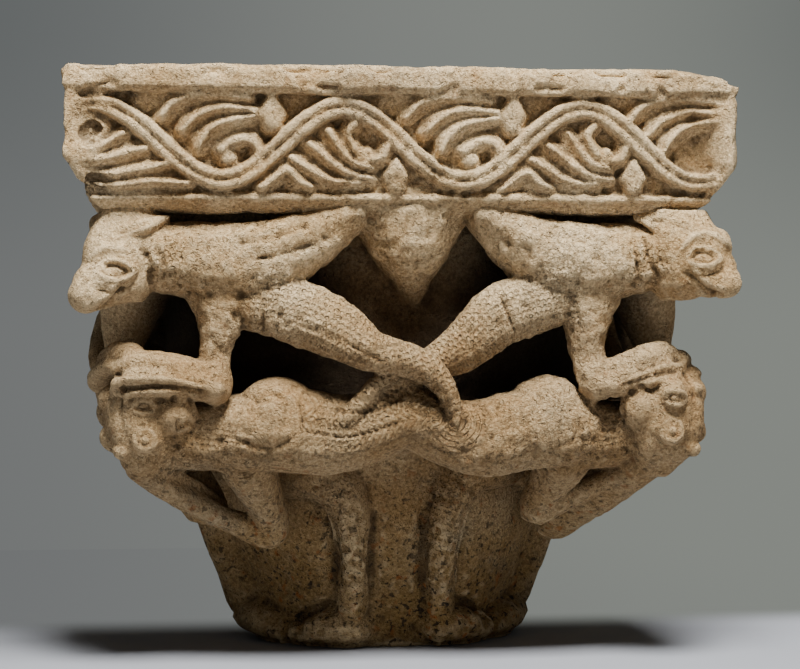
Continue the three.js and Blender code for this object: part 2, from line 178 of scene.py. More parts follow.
def follow(points: np.ndarray, line: np.ndarray) -> tuple[np.ndarray, np.ndarray]:
    """Measures points against a line in a side's plane.

    Args:
        points: The points, one row of two numbers each.
        line: The line's points.

    Returns:
        How far along the line each point lies, and how far beside it, positive to its left.
    """
    best = np.full(len(points), np.inf)
    along = np.zeros(len(points))
    beside = np.full(len(points), 1.0)
    walked = 0.0
    for start, end in zip(line, line[1:]):
        span = end - start
        length = max(float(np.hypot(*span)), 1e-9)
        way = span / length
        offset = points - start
        t = np.clip(offset @ way, 0, length)
        gap = offset - t[:, None] * way
        distance = np.hypot(gap[:, 0], gap[:, 1])
        closer = distance < best
        side = np.where(way[0] * offset[:, 1] < way[1] * offset[:, 0], -1, 1)
        best[closer] = distance[closer]
        along[closer] = walked + t[closer]
        beside[closer] = (side * distance)[closer]
        walked += length
    return along, beside


def noise(points: np.ndarray, cell: float, seed: int) -> np.ndarray:
    """Returns smooth noise from -1 to 1 at points.

    Args:
        points: The points in metres, one row of three numbers each.
        cell: The size of the noise's lumps in metres.
        seed: Which noise it is.

    Returns:
        One value for each point.
    """
    p, q, r, s = NOISE_PRIMES
    scaled = points @ NOISE_AXES / cell + NOISE_SHIFT
    low = np.floor(scaled).astype(np.int64)
    t = scaled - low
    t = t * t * (3 - 2 * t)
    total = np.zeros(len(points))
    for dx in (0, 1):
        for dy in (0, 1):
            for dz in (0, 1):
                x, y, z = low[:, 0] + dx, low[:, 1] + dy, low[:, 2] + dz
                mixed = (x * p) ^ (y * q) ^ (z * r) ^ (seed * s)
                mixed = (mixed ^ (mixed >> 13)) * NOISE_SCRAMBLE & NOISE_RANGE
                weight = abs(1 - dx - t[:, 0]) * abs(1 - dy - t[:, 1]) * abs(1 - dz - t[:, 2])
                total += weight * (mixed / NOISE_RANGE)
    return 2 * total - 1


def ramp(values: np.ndarray, low: float, high: float) -> np.ndarray:
    """Returns 0 below low, 1 above high and a smooth step between."""
    t = np.clip((values - low) / (high - low), 0, 1)
    return t * t * (3 - 2 * t)


def as_mesh(shape: bmesh.types.BMesh, name: str) -> bpy.types.Mesh:
    """Returns a finished shape as a mesh, and frees it."""
    mesh = bpy.data.meshes.new(name)
    shape.to_mesh(mesh)
    shape.free()
    return mesh


def in_scene(name: str, data: bpy.types.ID) -> bpy.types.Object:
    """Returns a new object of the scene, at the origin."""
    made = bpy.data.objects.new(name, data)
    bpy.context.scene.collection.objects.link(made)
    return made


class Carving:
    """Gathers solid shapes in one mesh, laid out on the front side."""

    def __init__(self, block: Block) -> None:
        """Starts an empty carving for a block."""
        self.block = block
        self.form = bmesh.new()

    def take(self, shape: bmesh.types.BMesh) -> None:
        """Moves a finished shape into the carving."""
        bmesh.ops.recalc_face_normals(shape, faces=shape.faces[:])
        mesh = as_mesh(shape, "shape")
        self.form.from_mesh(mesh)
        bpy.data.meshes.remove(mesh)

    def sweep(self, rings: Sequence[Matrix], sides: int, squareness: float = 2.0) -> None:
        """Extrudes a closed bar through placed rings.

        Args:
            rings: The place of each ring, as the matrix that carries the unit circle there.
            sides: How many sides the bar has.
            squareness: 2 for an oval section, and more for a squarer one.
        """
        shape = bmesh.new()
        bmesh.ops.create_cone(shape, cap_ends=True, segments=sides, radius1=1, radius2=1, depth=2)
        for vert in shape.verts:
            x, y = abs(vert.co.x), abs(vert.co.y)
            reach = (x**squareness + y**squareness) ** (-1 / squareness)
            vert.co.x *= reach
            vert.co.y *= reach
        lower = [vert for vert in shape.verts if vert.co.z < 0]
        upper = [vert for vert in shape.verts if vert.co.z > 0]
        bmesh.ops.transform(shape, matrix=rings[0] @ Matrix.Translation((0, 0, 1)), verts=lower)
        bmesh.ops.transform(shape, matrix=rings[1] @ Matrix.Translation((0, 0, -1)), verts=upper)
        top = next(face for face in upper[0].link_faces if all(vert in upper for vert in face.verts))
        for before, after in zip(rings[1:], rings[2:]):
            top = bmesh.ops.extrude_discrete_faces(shape, faces=[top])["faces"][0]
            bmesh.ops.transform(shape, matrix=after @ before.inverted(), verts=top.verts[:])
        self.take(shape)

    def limb(self, stations: Sequence[Station], sides: int = 14, squareness: float = 2.0) -> None:
        """Adds a limb through stations of (across, up, out, half height, half depth) in percent.

        Args:
            stations: The stations, from one end to the other.
            sides: How many sides the limb has.
            squareness: 2 for an oval section, and more for a squarer one.
        """
        block = self.block
        rows = [(*block.point(at), block.share(at[3]), block.share(at[4])) for at in stations]
        curve = smooth_path(np.array(rows), 5 * len(rows) + 2)
        tangents = np.gradient(curve[:, :3], axis=0)
        rings = []
        for row, tangent in zip(curve, tangents):
            half, depth = (max(value, THINNEST_LIMB) for value in row[3:])
            rings.append(ring_at(Vector(row[:3]), Vector(tangent), half, depth))
        start = [dome_ring(rings[0], -1, angle) for angle in DOME_ANGLES]
        end = [dome_ring(rings[-1], 1, angle) for angle in reversed(DOME_ANGLES)]
        self.sweep([*start, *rings, *end], sides, squareness)

    def lump(self, place: Place, radii: Place) -> None:
        """Adds a rounded lump.

        Args:
            place: Its middle, as a face place.
            radii: Half its width, height and depth, in percent of the half width.
        """
        wide, high, deep = (self.block.share(value) for value in radii)
        matrix = Matrix.Translation(self.block.point(place)) @ Matrix.Diagonal((wide, deep, high, 1))
        shape = bmesh.new()
        bmesh.ops.create_icosphere(shape, subdivisions=3, radius=1, matrix=matrix)
        self.take(shape)

    def column(self, levels: Sequence[Place], squareness: float, sides: int = 24) -> None:
        """Adds an upright bar at the front left corner, through levels of (out, up, half width)."""
        rings = []
        for out, up, half in levels:
            width = self.block.share(half)
            size = Matrix.Diagonal((width, width, 1, 1))
            rings.append(Matrix.Translation(self.block.point((-out, up, out))) @ size)
        self.sweep(rings, sides, squareness)

    def stack(self, levels: Sequence[tuple[float, float, float]]) -> None:
        """Adds an upright square bar.

        Args:
            levels: Its half width, its height, and how far its middle lies from the axis along both
                sides, all in metres, from the bottom up.
        """
        rings = []
        turn = Matrix.Rotation(math.pi / 4, 4, "Z")
        for half, height, middle in levels:
            size = Matrix.Diagonal((half * math.sqrt(2), half * math.sqrt(2), 1, 1))
            rings.append(Matrix.Translation((-middle, -middle, height)) @ turn @ size)
        self.sweep(rings, 4)

    def turned(self, quarter: int) -> bpy.types.Mesh:
        """Returns the carving as a mesh, turned to another side by quarter turns."""
        mesh = bpy.data.meshes.new("turned")
        self.form.to_mesh(mesh)
        mesh.transform(Matrix.Rotation(quarter * math.pi / 2, 4, "Z"))
        return mesh


def ring_at(centre: Vector, along: Vector, half: float, depth: float) -> Matrix:
    """Returns the matrix that carries the unit circle to a limb's ring.

    Args:
        centre: The ring's middle.
        along: The limb's direction there.
        half: Half its height, across the limb in the side's plane.
        depth: Half its depth, outwards.

    Returns:
        The matrix.
    """
    along = along.normalized()
    out = Vector((0, -1, 0))
    out = (out - along * out.dot(along)).normalized()
    side = out.cross(along)
    columns = (side * half, out * depth, along, centre)
    return Matrix([(*(column[row] for column in columns),) for row in range(3)] + [(0, 0, 0, 1)])


def dome_ring(ring: Matrix, way: int, angle: float) -> Matrix:
    """Returns a smaller ring beyond an end ring, so that the limb closes in a dome."""
    reach = min(ring.col[0].length, ring.col[1].length)
    shift = Matrix.Translation((0, 0, way * reach * math.sin(math.radians(angle))))
    shrink = Matrix.Diagonal((math.cos(math.radians(angle)), math.cos(math.radians(angle)), 1, 1))
    return ring @ shift @ shrink


@dataclass
class Bell:
    """The core behind the figures, from the round neck to the collar under the abacus.

    Attributes:
        block: The block.
        belly: Its radius at the lower figures.
        shoulder: Its radius at the upper figures' feet.
        flare: Its radius at the top.
        edge: How far the neck's lower edge is worn back.
        edge_height: How tall that worn edge is.
        neck_height: How far up the neck runs straight.
        steps: How many faces go round it.
    """

    block: Block
    belly: float = 0.110
    shoulder: float = 0.130
    flare: float = 0.140
    edge: float = 0.0015
    edge_height: float = 0.0027
    neck_height: float = 0.009
    steps: int = 72

    def profile(self) -> list[Flat]:
        """Returns the radius at each height, from the bottom up."""
        rise = self.block.basket
        growth = self.belly - NECK_RADIUS
        return [
            (NECK_RADIUS - self.edge, 0.0),
            (NECK_RADIUS, self.edge_height),
            (NECK_RADIUS, self.neck_height),
            (NECK_RADIUS + 0.2 * growth, 0.11 * rise),
            (NECK_RADIUS + 0.6 * growth, 0.24 * rise),
            (self.belly, 0.46 * rise),
            (self.shoulder, 0.68 * rise),
            (self.flare, 0.97 * rise),
            (self.flare, rise + JOIN_OVERLAP),
        ]

    def radius_at(self, height: float) -> float:
        """Returns the core's radius at a height."""
        radii, heights = zip(*self.profile())
        return float(np.interp(height, heights, radii))

    def build(self, carving: Carving) -> None:
        """Spins the core's profile round the axis, and adds the square collar."""
        top = self.block.basket + JOIN_OVERLAP
        foot = self.block.basket - COLLAR_DROP
        carving.stack([(COLLAR_HALF - 0.6 * COLLAR_DROP, foot, 0), (COLLAR_HALF, top, 0)])
        shape = bmesh.new()
        outline = [(0.0, 0.0), *self.profile(), (0.0, top)]
        verts = [shape.verts.new((radius, 0, height)) for radius, height in outline]
        edges = [shape.edges.new(pair) for pair in zip(verts, verts[1:])]
        bmesh.ops.spin(
            shape,
            geom=[*verts, *edges],
            axis=(0, 0, 1),
            angle=2 * math.pi,
            steps=self.steps,
            use_merge=True,
        )
        bmesh.ops.remove_doubles(shape, verts=shape.verts[:], dist=1e-5)
        carving.take(shape)


@dataclass
class Abacus:
    """The square top: the core of the sunk field, the plain band, the fillet and the corner posts.

    Attributes:
        block: The block.
        recess: How far the core lies behind the sunk field, and the posts behind the corners.
        overlap: How far the core and the posts reach up into the band.
        post_width: How far in from the block's faces the posts reach.
    """

    block: Block
    recess: float = 0.004
    overlap: float = 0.002
    post_width: float = 0.034

    def build(self, carving: Carving) -> None:
        """Adds the core, the band and the fillet with the hollow under it."""
        block = self.block
        low, high = block.field_bottom, block.field_top
        foot = block.field_out(low) - self.recess
        head = block.field_out(high) - self.recess
        carving.stack([(foot, low - self.recess, 0), (head, high + self.overlap, 0)])
        band = [(block.half - EDGE_WEAR, high, 0), (block.half, high + EDGE_WEAR, 0)]
        band += [(block.half, block.height - EDGE_WEAR, 0), (block.half - EDGE_WEAR, block.height, 0)]
        carving.stack(band)
        fillet = block.half - FILLET_INSET
        hollow = [(fillet - 0.012, block.basket, 0), (fillet - 0.008, block.basket + 0.0015, 0)]
        hollow += [(fillet - 0.002, block.basket + 0.0055, 0), (fillet, low - 0.003, 0)]
        carving.stack([*hollow, (fillet - 0.001, low - 0.0008, 0), (fillet - 0.004, low + 0.0005, 0)])

    def post(self, carving: Carving) -> None:
        """Adds the uncarved post at the front left corner, broken away below."""
        block = self.block
        inner = block.half - self.post_width
        chip_top = block.field_bottom + CHIP_HEIGHT
        levels = []
        for height in (block.basket + EDGE_WEAR, chip_top, block.field_top + self.overlap):
            outer = float(min(block.corner_out(height) - self.recess, block.field_out(height) + 0.001))
            levels.append(((outer - inner) / 2, height, (outer + inner) / 2))
        carving.stack(levels)


SHEET_INSET = 0.002
SHEET_DEPTH = 0.007
CORNER_RECESS = 0.0012
CORNER_START = 0.158
CORNER_FULL = 0.180
CORNER_WANDER = 0.003
SHELL_START = 0.153
SHELL_WIDTH = 0.012
SHELL_THICKNESS = 0.004


class Relief:
    """One side's sunk field in relief: a fine sheet of places, and how far each stands out."""

    def __init__(self, block: Block, step: float) -> None:
        """Lays out the sheet.

        Args:
            block: The block.
            step: How far apart its places are, in metres.
        """
        self.block = block
        half = block.half - SHEET_INSET
        middle = Matrix.Translation((0, (block.field_top + block.field_bottom) / 2, 0))
        self.sheet = bmesh.new()
        bmesh.ops.create_grid(
            self.sheet,
            x_segments=round(2 * half / step),
            y_segments=round(block.field_height / step),
            size=1,
            matrix=middle @ Matrix.Diagonal((half, block.field_height / 2 + 0.001, 1, 1)),
        )
        self.places = np.array([vert.co[:2] for vert in self.sheet.verts])
        self.rise = np.zeros(len(self.places))

    def ridge(self, rows: np.ndarray, relief: float, crest: float) -> None:
        """Raises a line.

        Args:
            rows: Across, height and half width in metres, one row for each point of the line.
            relief: How far it stands out, in metres.
            crest: 2 for a round top, more for a flatter one, and less for a sharp one.
        """
        line = smooth_path(rows, POINTS_PER_STATION * len(rows)) if len(rows) < 12 else rows
        reach = line[:, 2].max()
        low, high = line[:, :2].min(axis=0) - reach, line[:, :2].max(axis=0) + reach
        near = np.nonzero(((self.places > low) & (self.places < high)).all(axis=1))[0]
        along, beside = follow(self.places[near], line[:, :2])
        steps = np.hypot(*np.diff(line[:, :2], axis=0).T)
        half = np.interp(along, np.concatenate([[0], np.cumsum(steps)]), line[:, 2])
        bulge = 0.5 if crest >= 2 else 1.0
        rise = relief * np.clip(1 - (abs(beside) / half) ** crest, 0, 1) ** bulge
        self.rise[near] = np.maximum(self.rise[near], rise)

    def dimple(self, across: float, height: float, radius: float, relief: float) -> None:
        """Lowers a round spot to a given relief."""
        distance = np.hypot(self.places[:, 0] - across, self.places[:, 1] - height)
        inside = 1 - ramp(distance, 0.55 * radius, 1.15 * radius)
        self.rise = np.where(self.rise > relief, self.rise + inside * (relief - self.rise), self.rise)

    def wear(self, seed: int) -> None:
        """Wears the relief unevenly and lets it rise into the rough corners."""
        across, height = self.places.T
        spots = np.stack([across, height, np.full(len(across), seed * 0.1)], axis=1)
        self.rise *= 1 - 0.16 * ramp(noise(spots, 0.016, 11), -0.2, 0.8)
        wander = CORNER_WANDER * noise(spots, 0.012, 12)
        corner = self.block.corner_out(height) - CORNER_RECESS - self.block.field_out(height)
        dent = ramp(self.block.half - abs(across), 0, 0.03) * ramp(noise(spots, 0.03, 14), -0.6, 0.6)
        corner = corner - 0.004 * dent
        ground = ramp(abs(across), CORNER_START + wander, CORNER_FULL + wander)
        self.rise = ground * corner + (1 - 0.7 * ground) * self.rise * (1 - ground**3)
        torn = ramp(noise(spots, 0.02, 13), 0.0, 0.5) * ramp(-across, 0.06, 0.10)
        brow = ramp(height, self.block.field_top - 0.007, self.block.field_top - 0.001)
        self.rise = np.maximum(self.rise, torn * brow * (FIELD_DEPTH - 0.0025))

    def close(self, carving: Carving) -> None:
        """Closes the sheet behind, as a thin shell near its ends, and gives it to the carving."""
        limits = self.block.corner_out(self.places[:, 1]) - 0.0015
        across = np.clip(self.places[:, 0], -limits, limits)
        for vert, x, height, rise in zip(self.sheet.verts, across, self.places[:, 1], self.rise):
            vert.co = (x, -self.block.field_out(height) - rise, height)
        made = bmesh.ops.extrude_face_region(self.sheet, geom=self.sheet.faces[:])
        for part in made["geom"]:
            if isinstance(part, bmesh.types.BMVert):
                end = min(max((abs(part.co.x) - SHELL_START) / SHELL_WIDTH, 0), 1)
                behind = SHEET_DEPTH - self.block.field_out(part.co.z)
                part.co.y = (1 - end) * behind + end * (part.co.y + SHELL_THICKNESS)
        carving.take(self.sheet)


@dataclass(frozen=True)
class Leaf:
    """A half-palmette in a bay of the vine, in shares of the field's height from the bay's middle.

    Attributes:
        lobes: For each lobe, its line from the root to the tip.
        curl: The volute's line, from the stem inwards.
        ball: The volute's eye, as (across, up, radius).
        hole: The pit beside it, as (across, up, radius).
        bud: The bud's line, from its broad end to its point.
    """

    lobes: tuple[tuple[Flat, ...], ...]
    curl: tuple[Flat, ...]
    ball: Place
    hole: Place
    bud: tuple[Flat, ...]


HANGING = Leaf(
    lobes=(
        ((0.0, 1.0), (-0.475, 1.03), (-0.78, 0.946), (-0.867, 0.9)),
        ((0.285, 0.946), (-0.19, 0.98), (-0.475, 0.9), (-0.606, 0.756)),
        ((0.344, 0.83), (0.0, 0.85), (-0.26, 0.756), (-0.39, 0.626)),
        ((0.34, 0.77), (0.0, 0.697), (-0.166, 0.578), (-0.226, 0.435)),
    ),
    curl=((0.38, 0.27), (0.37, 0.435), (0.285, 0.53), (0.14, 0.52), (0.0, 0.435)),
    ball=(0.07, 0.34, 0.107),
    hole=(0.25, 0.435, 0.05),
    bud=((0.51, 0.70), (0.51, 0.80), (0.51, 0.92), (0.51, 1.04)),
)
STANDING = Leaf(
    lobes=(
        ((-0.83, 0.05), (-0.58, 0.22), (-0.46, 0.12), (-0.33, 0.06)),
        ((0.175, 0.10), (-0.125, 0.125), (-0.326, 0.226), (-0.527, 0.35)),
        ((0.3, 0.15), (0.05, 0.2), (-0.175, 0.35), (-0.35, 0.49)),
        ((0.3, 0.25), (0.075, 0.326), (-0.075, 0.5), (-0.15, 0.627)),
    ),
    curl=((0.45, 0.477), (0.39, 0.364), (0.226, 0.35), (0.1, 0.477), (0.05, 0.6), (0.113, 0.7)),
    ball=(0.25, 0.42, 0.07),
    hole=(0.2, 0.56, 0.06),
    bud=((0.55, 0.08), (0.55, 0.17), (0.55, 0.26), (0.55, 0.36)),
)
LEFT_END = Leaf(
    lobes=(
        ((-0.25, 0.10), (0.155, 0.056), (0.51, 0.10), (0.91, 0.085)),
        ((-0.25, 0.2), (0.1, 0.175), (0.39, 0.22), (0.70, 0.28)),
        ((-0.27, 0.32), (0.01, 0.32), (0.27, 0.39), (0.475, 0.435)),
        ((-0.25, 0.435), (-0.08, 0.41), (0.1, 0.5), (0.25, 0.58)),
    ),
    curl=((-0.2, 0.48), (-0.17, 0.65), (-0.04, 0.72), (0.06, 0.63), (-0.01, 0.55)),
    ball=(-0.05, 0.56, 0.05),
    hole=(-0.11, 0.58, 0.04),
    bud=(),
)
LOBE_WIDTHS = (0.055, 0.095, 0.1, 0.06)
BUD_WIDTHS = (0.12, 0.16, 0.10, 0.015)
FAINT_BED = 0.003
FAINT_RISE = 0.0056
HOLE_RISE = 0.001


@dataclass
class Vine:
    """The waved double vine of one side, its leaves and its buds.

    Attributes:
        block: The block.
        work: How finely the side is carved.
        stem_rise: How far the vine's flat bed stands out.
        edge_rise: How far its two raised edges do.
        lobe_bed: How far a lobe's broad bed stands out.
        lobe_rise: How far its sharp crest does.
        curl_rise: How far volutes and buds do.
        ball_rise: How far a volute's eye does.
        start: Where the vine starts along the field.
        end: Where it ends.
    """

    block: Block
    work: Work
    stem_rise: float = 0.0062
    edge_rise: float = 0.0092
    lobe_bed: float = 0.0052
    lobe_rise: float = 0.0102
    curl_rise: float = 0.0088
    ball_rise: float = 0.0085
    start: float = -0.174
    end: float = 0.170

    def height_at(self, across: np.ndarray) -> np.ndarray:
        """Returns the height of the vine's middle."""
        block = self.block
        middle = (block.field_bottom + block.field_top) / 2
        swing = (block.field_height - VINE_WIDTH) / 2 - 0.001
        return middle + swing * np.cos((across - VINE_FIRST_CREST) / VINE_PERIOD * 2 * math.pi)

    def build(self, carving: Carving) -> None:
        """Carves the vine and a leaf in every bay into the field."""
        fine = self.work is Work.FINE
        relief = Relief(self.block, 0.0008 if fine else 0.0014)
        kinds = (LEFT_END, HANGING, STANDING, HANGING, STANDING, HANGING)
        for bay, kind in enumerate(kinds):
            middle = VINE_FIRST_CREST + bay * VINE_PERIOD / 2
            last = bay == len(kinds) - 1
            self.leaf(relief, kind, middle - 0.15 * self.block.field_height * last, not last)
        self.strand(relief, 0, 0.45 * VINE_WIDTH, self.stem_rise)
        for side in (-1, 1) if fine else ():
            self.strand(relief, side, 0.25 * VINE_WIDTH, self.edge_rise)
        relief.wear(1 if fine else 2)
        relief.close(carving)

    def strand(self, relief: Relief, side: int, half: float, rise: float) -> None:
        """Carves one strand, above or below the vine's middle."""
        across = np.linspace(self.start, self.end, 90)
        height = self.height_at(across)
        slope = np.gradient(height, across)
        shift = side * VINE_WIDTH / 4 / np.hypot(1, slope)
        rows = np.stack([across - shift * slope, height + shift, np.full(len(across), half)], axis=1)
        relief.ridge(rows, rise, 4)

    def leaf(self, relief: Relief, kind: Leaf, middle: float, curled: bool) -> None:
        """Carves a leaf.

        Args:
            relief: The field.
            kind: Which leaf.
            middle: Where the bay's middle lies along the field.
            curled: Whether the volute and the bud are carved as well.
        """
        block = self.block
        tall = block.field_height

        def rows(line: Sequence[Flat], widths: Sequence[float], wider: float = 1.0) -> np.ndarray:
            """Returns a line's places and half widths in metres."""
            places = [(middle + a * tall, block.field_bottom + u * tall) for a, u in line]
            return np.array([(*place, wider * width * tall) for place, width in zip(places, widths)])

        for number, lobe in enumerate(kind.lobes):
            faint = kind is HANGING and number == 0
            relief.ridge(rows(lobe, LOBE_WIDTHS, 1.4), FAINT_BED if faint else self.lobe_bed, 3)
            relief.ridge(rows(lobe, LOBE_WIDTHS, 1.2), FAINT_RISE if faint else self.lobe_rise, 1.3)
        if not curled or self.work is Work.PLAIN:
            return
        relief.ridge(rows(kind.curl, [0.1] * len(kind.curl)), self.lobe_bed, 4)
        relief.ridge(rows(kind.curl, [0.062] * len(kind.curl)), self.curl_rise, 2.6)
        across, up, radius = kind.ball
        relief.ridge(rows(((across, up), (across + 0.001, up)), (radius, radius)), self.ball_rise, 2.4)
        across, up, radius = kind.hole
        relief.dimple(middle + across * tall, block.field_bottom + up * tall, radius * tall, HOLE_RISE)
        if kind.bud:
            relief.ridge(rows(kind.bud, BUD_WIDTHS), self.curl_rise, 2.6)


@dataclass(frozen=True)
class Beast:
    """One beast of a side. Each part is a row of stations, as Carving.limb() takes them.

    Attributes:
        body: The trunk.
        limbs: The main limbs and the tail.
        fine: What only the finely carved side gets.
        lumps: Rounded swellings, as a place and three radii.
    """

    body: tuple[Station, ...]
    limbs: tuple[tuple[Station, ...], ...]
    fine: tuple[tuple[Station, ...], ...]
    lumps: tuple[tuple[Place, Place], ...] = ()


UPPER_LEFT_TAIL = (
    (-45, 80, 81, 8, 9),
    (-33, 78.5, 84, 10, 9),
    (-20, 74.5, 87, 9.2, 8),
    (-10, 70, 90, 6.4, 7),
    (0, 68, 91, 5.2, 5.5),
    (8, 65.3, 91, 4.6, 4.8),
    (13.5, 60, 90, 3.4, 4),
    (15.6, 54.5, 88.5, 2.4, 3.5),
)
UPPER_RIGHT_TAIL = (
    (52, 82, 80, 7, 8),
    (40, 80.5, 82, 9.5, 8.5),
    (28.5, 77, 83, 9.2, 8),
    (18.6, 70.8, 83, 7.6, 6.8),
    (10, 67, 83, 5.4, 5.2),
    (2, 64.5, 84, 3.8, 4.2),
    (-6.5, 62.8, 87, 3.4, 4),
    (-12.4, 58.5, 88, 3.2, 3.8),
    (-17.7, 54.6, 88, 2.9, 3.5),
)
UPPER_LEFT = Beast(
    body=(
        (-78, 90.5, 81, 9, 12),
        (-66, 90, 79, 11, 15),
        (-53, 89, 78, 12, 16),
        (-40, 89.5, 78, 11.4, 15),
        (-26, 94, 80, 8, 11),
        (-14, 99.5, 82, 5, 8),
    ),
    limbs=(
        ((-54, 83, 80, 11, 11), (-54, 76, 82, 7, 8.5), (-55.5, 69, 83, 4.8, 6), (-55.5, 62, 85, 5.4, 6.5)),
        ((-56, 63.5, 86, 4.8, 6), (-69, 66.8, 86, 3.8, 6), (-79, 67.6, 84, 3.4, 5), (-84, 66, 82, 2.8, 4)),
        ((-56, 62, 89, 3.6, 5), (-68, 64, 90, 2.8, 4.5), (-79, 64.4, 89, 2.6, 4), (-84, 63, 86, 2.2, 3.6)),
        UPPER_LEFT_TAIL,
    ),
    fine=(
        (
            (-56, 60.6, 88, 2.6, 4.5),
            (-69, 61.4, 89, 2.2, 4.5),
            (-77, 61.4, 88, 2, 4),
            (-82, 60.6, 86, 1.8, 3.6),
        ),
        ((-62, 90.6, 86, 8, 7), (-44, 92, 87, 8, 6.4), (-28, 96, 87, 5.6, 5), (-14, 100.6, 87, 3.6, 4.4)),
    ),
)
UPPER_RIGHT = Beast(
    body=(
        (79, 90.5, 81, 9, 12),
        (68, 90, 79, 11, 15),
        (56, 89, 78, 12, 16),
        (45, 90, 78, 11.4, 15),
        (34, 94, 80, 8, 11),
        (25, 99, 82, 5, 8),
    ),
    limbs=(
        ((57, 83, 80, 11, 11), (56.5, 76, 82, 7, 8.5), (56.5, 69, 83, 4.8, 6), (59, 62.5, 85, 5.4, 6.5)),
        ((62, 64, 86, 4.8, 6), (73, 68, 84.5, 4, 6), (79, 69.4, 82, 3.6, 5), (83, 68.6, 79, 3, 4)),
        ((62, 62.4, 89, 3.6, 5), (73, 65.2, 88, 2.8, 4.5), (80, 66.6, 85, 2.6, 4), (84, 66, 81.5, 2.2, 3.6)),
        UPPER_RIGHT_TAIL,
    ),
    fine=(
        ((64, 61.5, 88, 2.8, 4.5), (75, 63.4, 88, 2.4, 4.5), (82, 64.4, 85, 2.2, 4)),
        ((66, 90, 86, 9, 7.4), (50, 91, 87, 10, 7), (37, 95, 87, 7, 5.4), (25, 99.6, 87, 4, 4.4)),
    ),
)
LOWER_LEFT = Beast(
    body=(
        (-68, 51, 71, 10, 14),
        (-52, 51.5, 71, 11.5, 16),
        (-36, 52, 71, 12.5, 16.5),
        (-20, 50.5, 71, 11, 15),
        (-6, 53, 71, 9, 14),
        (3, 55, 71, 8, 13),
    ),
    limbs=(
        (
            (-46, 45, 71, 8.5, 10),
            (-40.5, 36, 62, 6.2, 8),
            (-38, 28, 55, 5, 7),
            (-50, 31, 58, 4, 6.5),
            (-64, 36.5, 66, 4, 6),
            (-78, 44, 76, 4.2, 6),
        ),
    ),
    fine=(((-46, 52, 78, 12, 12), (-34, 52.5, 79, 13, 12.6), (-17, 51.5, 80, 12, 11), (2, 56, 81, 9, 10)),),
    lumps=(((-37, 55.5, 79), (13, 12, 12)),),
)
LOWER_RIGHT = Beast(
    body=(
        (70, 51, 71, 10, 14),
        (56, 51, 71, 11.5, 16),
        (40, 52, 71, 12, 16.5),
        (24, 50.5, 71, 11, 15),
        (10, 52.5, 71, 9, 14),
        (1, 55, 71, 8, 13),
    ),
    limbs=(
        (
            (52, 46, 72, 8.5, 10),
            (48, 39, 63, 6.4, 8),
            (45.5, 32.5, 57, 5, 7),
            (55, 36, 61, 3.8, 6.5),
            (67, 40.5, 69, 3.8, 6),
            (81, 46, 78, 4, 6),
        ),
    ),
    fine=(((52, 52, 78, 12, 12), (39, 52.5, 79, 12.6, 12), (21, 50.5, 80, 11.6, 10.6), (2, 56, 81, 9, 10)),),
    lumps=(((44, 55.5, 79), (12.5, 12, 11.5)),),
)
BOSS = ((3, 101.5, 76, 19.5, 16), (3, 95, 75, 15, 15), (4, 88, 71, 9, 11), (5, 81, 68, 4, 6))
HIND_LEGS = (
    ((-34, 42, 9, 9), (-22, 41.5, 9, 11), (-14, 35, 7.4, 11), (-12, 24, 5.6, 9.5), (-11.5, 9, 5.4, 9)),
    ((-10, 5, 6.6, 10.5), (-19, 4.8, 6.2, 10.5), (-26, 3.6, 4.6, 9)),
    ((36, 43, 8, 9), (26, 43, 9, 11), (19, 36, 7.4, 11), (16.3, 24, 5.6, 9.5), (16, 9, 5.4, 9)),
    ((14.5, 5.2, 6.6, 10.5), (23, 5, 6.4, 10.5), (29, 3.8, 4.8, 9)),
)
LEFT_SIDE_WEB = (((3, 82, 70), (9, 6, 6)), ((3, 74, 71), (8, 5, 6)))


@dataclass
class Beasts:
    """The two tiers of beasts on one side, with the boss between the upper two."""

    block: Block
    bell: Bell
    work: Work

    def build(self, carving: Carving) -> None:
        """Adds the boss, the four beasts and the hind legs on the core."""
        carving.limb(BOSS)
        for beast in (UPPER_LEFT, UPPER_RIGHT, LOWER_LEFT, LOWER_RIGHT):
            carving.limb(beast.body, 18, 2.4)
            for stations in beast.limbs:
                carving.limb(stations)
            for place, radii in beast.lumps:
                carving.lump(place, radii)
            if self.work is Work.FINE:
                for stations in beast.fine:
                    carving.limb(stations)
        for stations in HIND_LEGS:
            carving.limb([self.on_bell(*station) for station in stations])

    def on_bell(self, across: float, up: float, half: float, depth: float) -> Station:
        """Returns a leg's station, laid on the core's surface."""
        radius = self.bell.radius_at(up / 100 * self.block.basket)
        inward = math.sqrt(max(radius**2 - self.block.share(across) ** 2, 0)) - HIND_LEG_SINK
        return across, up, 100 * inward / self.block.half, half, depth


@dataclass(frozen=True)
class HeadShape:
    """The two heads at one corner, in percent, laid out at the front left corner.

    Attributes:
        skull: The upper skull's levels, as (out, up, half width).
        muzzle: Its stations along the corner, as (out, up, half height, half depth).
        brow: The lump over the corner, as (out, up, radius).
        ear: The ear's stations, from its root to its tip, as (across, up, out, half, depth).
        shift: How far further out the lower head lies.
        lobe: The lower head's ear lobe, as (across, up, radius).
    """

    skull: tuple[Place, ...]
    muzzle: tuple[tuple[float, float, float, float], ...]
    brow: Place
    ear: tuple[Station, ...]
    shift: float
    lobe: Place


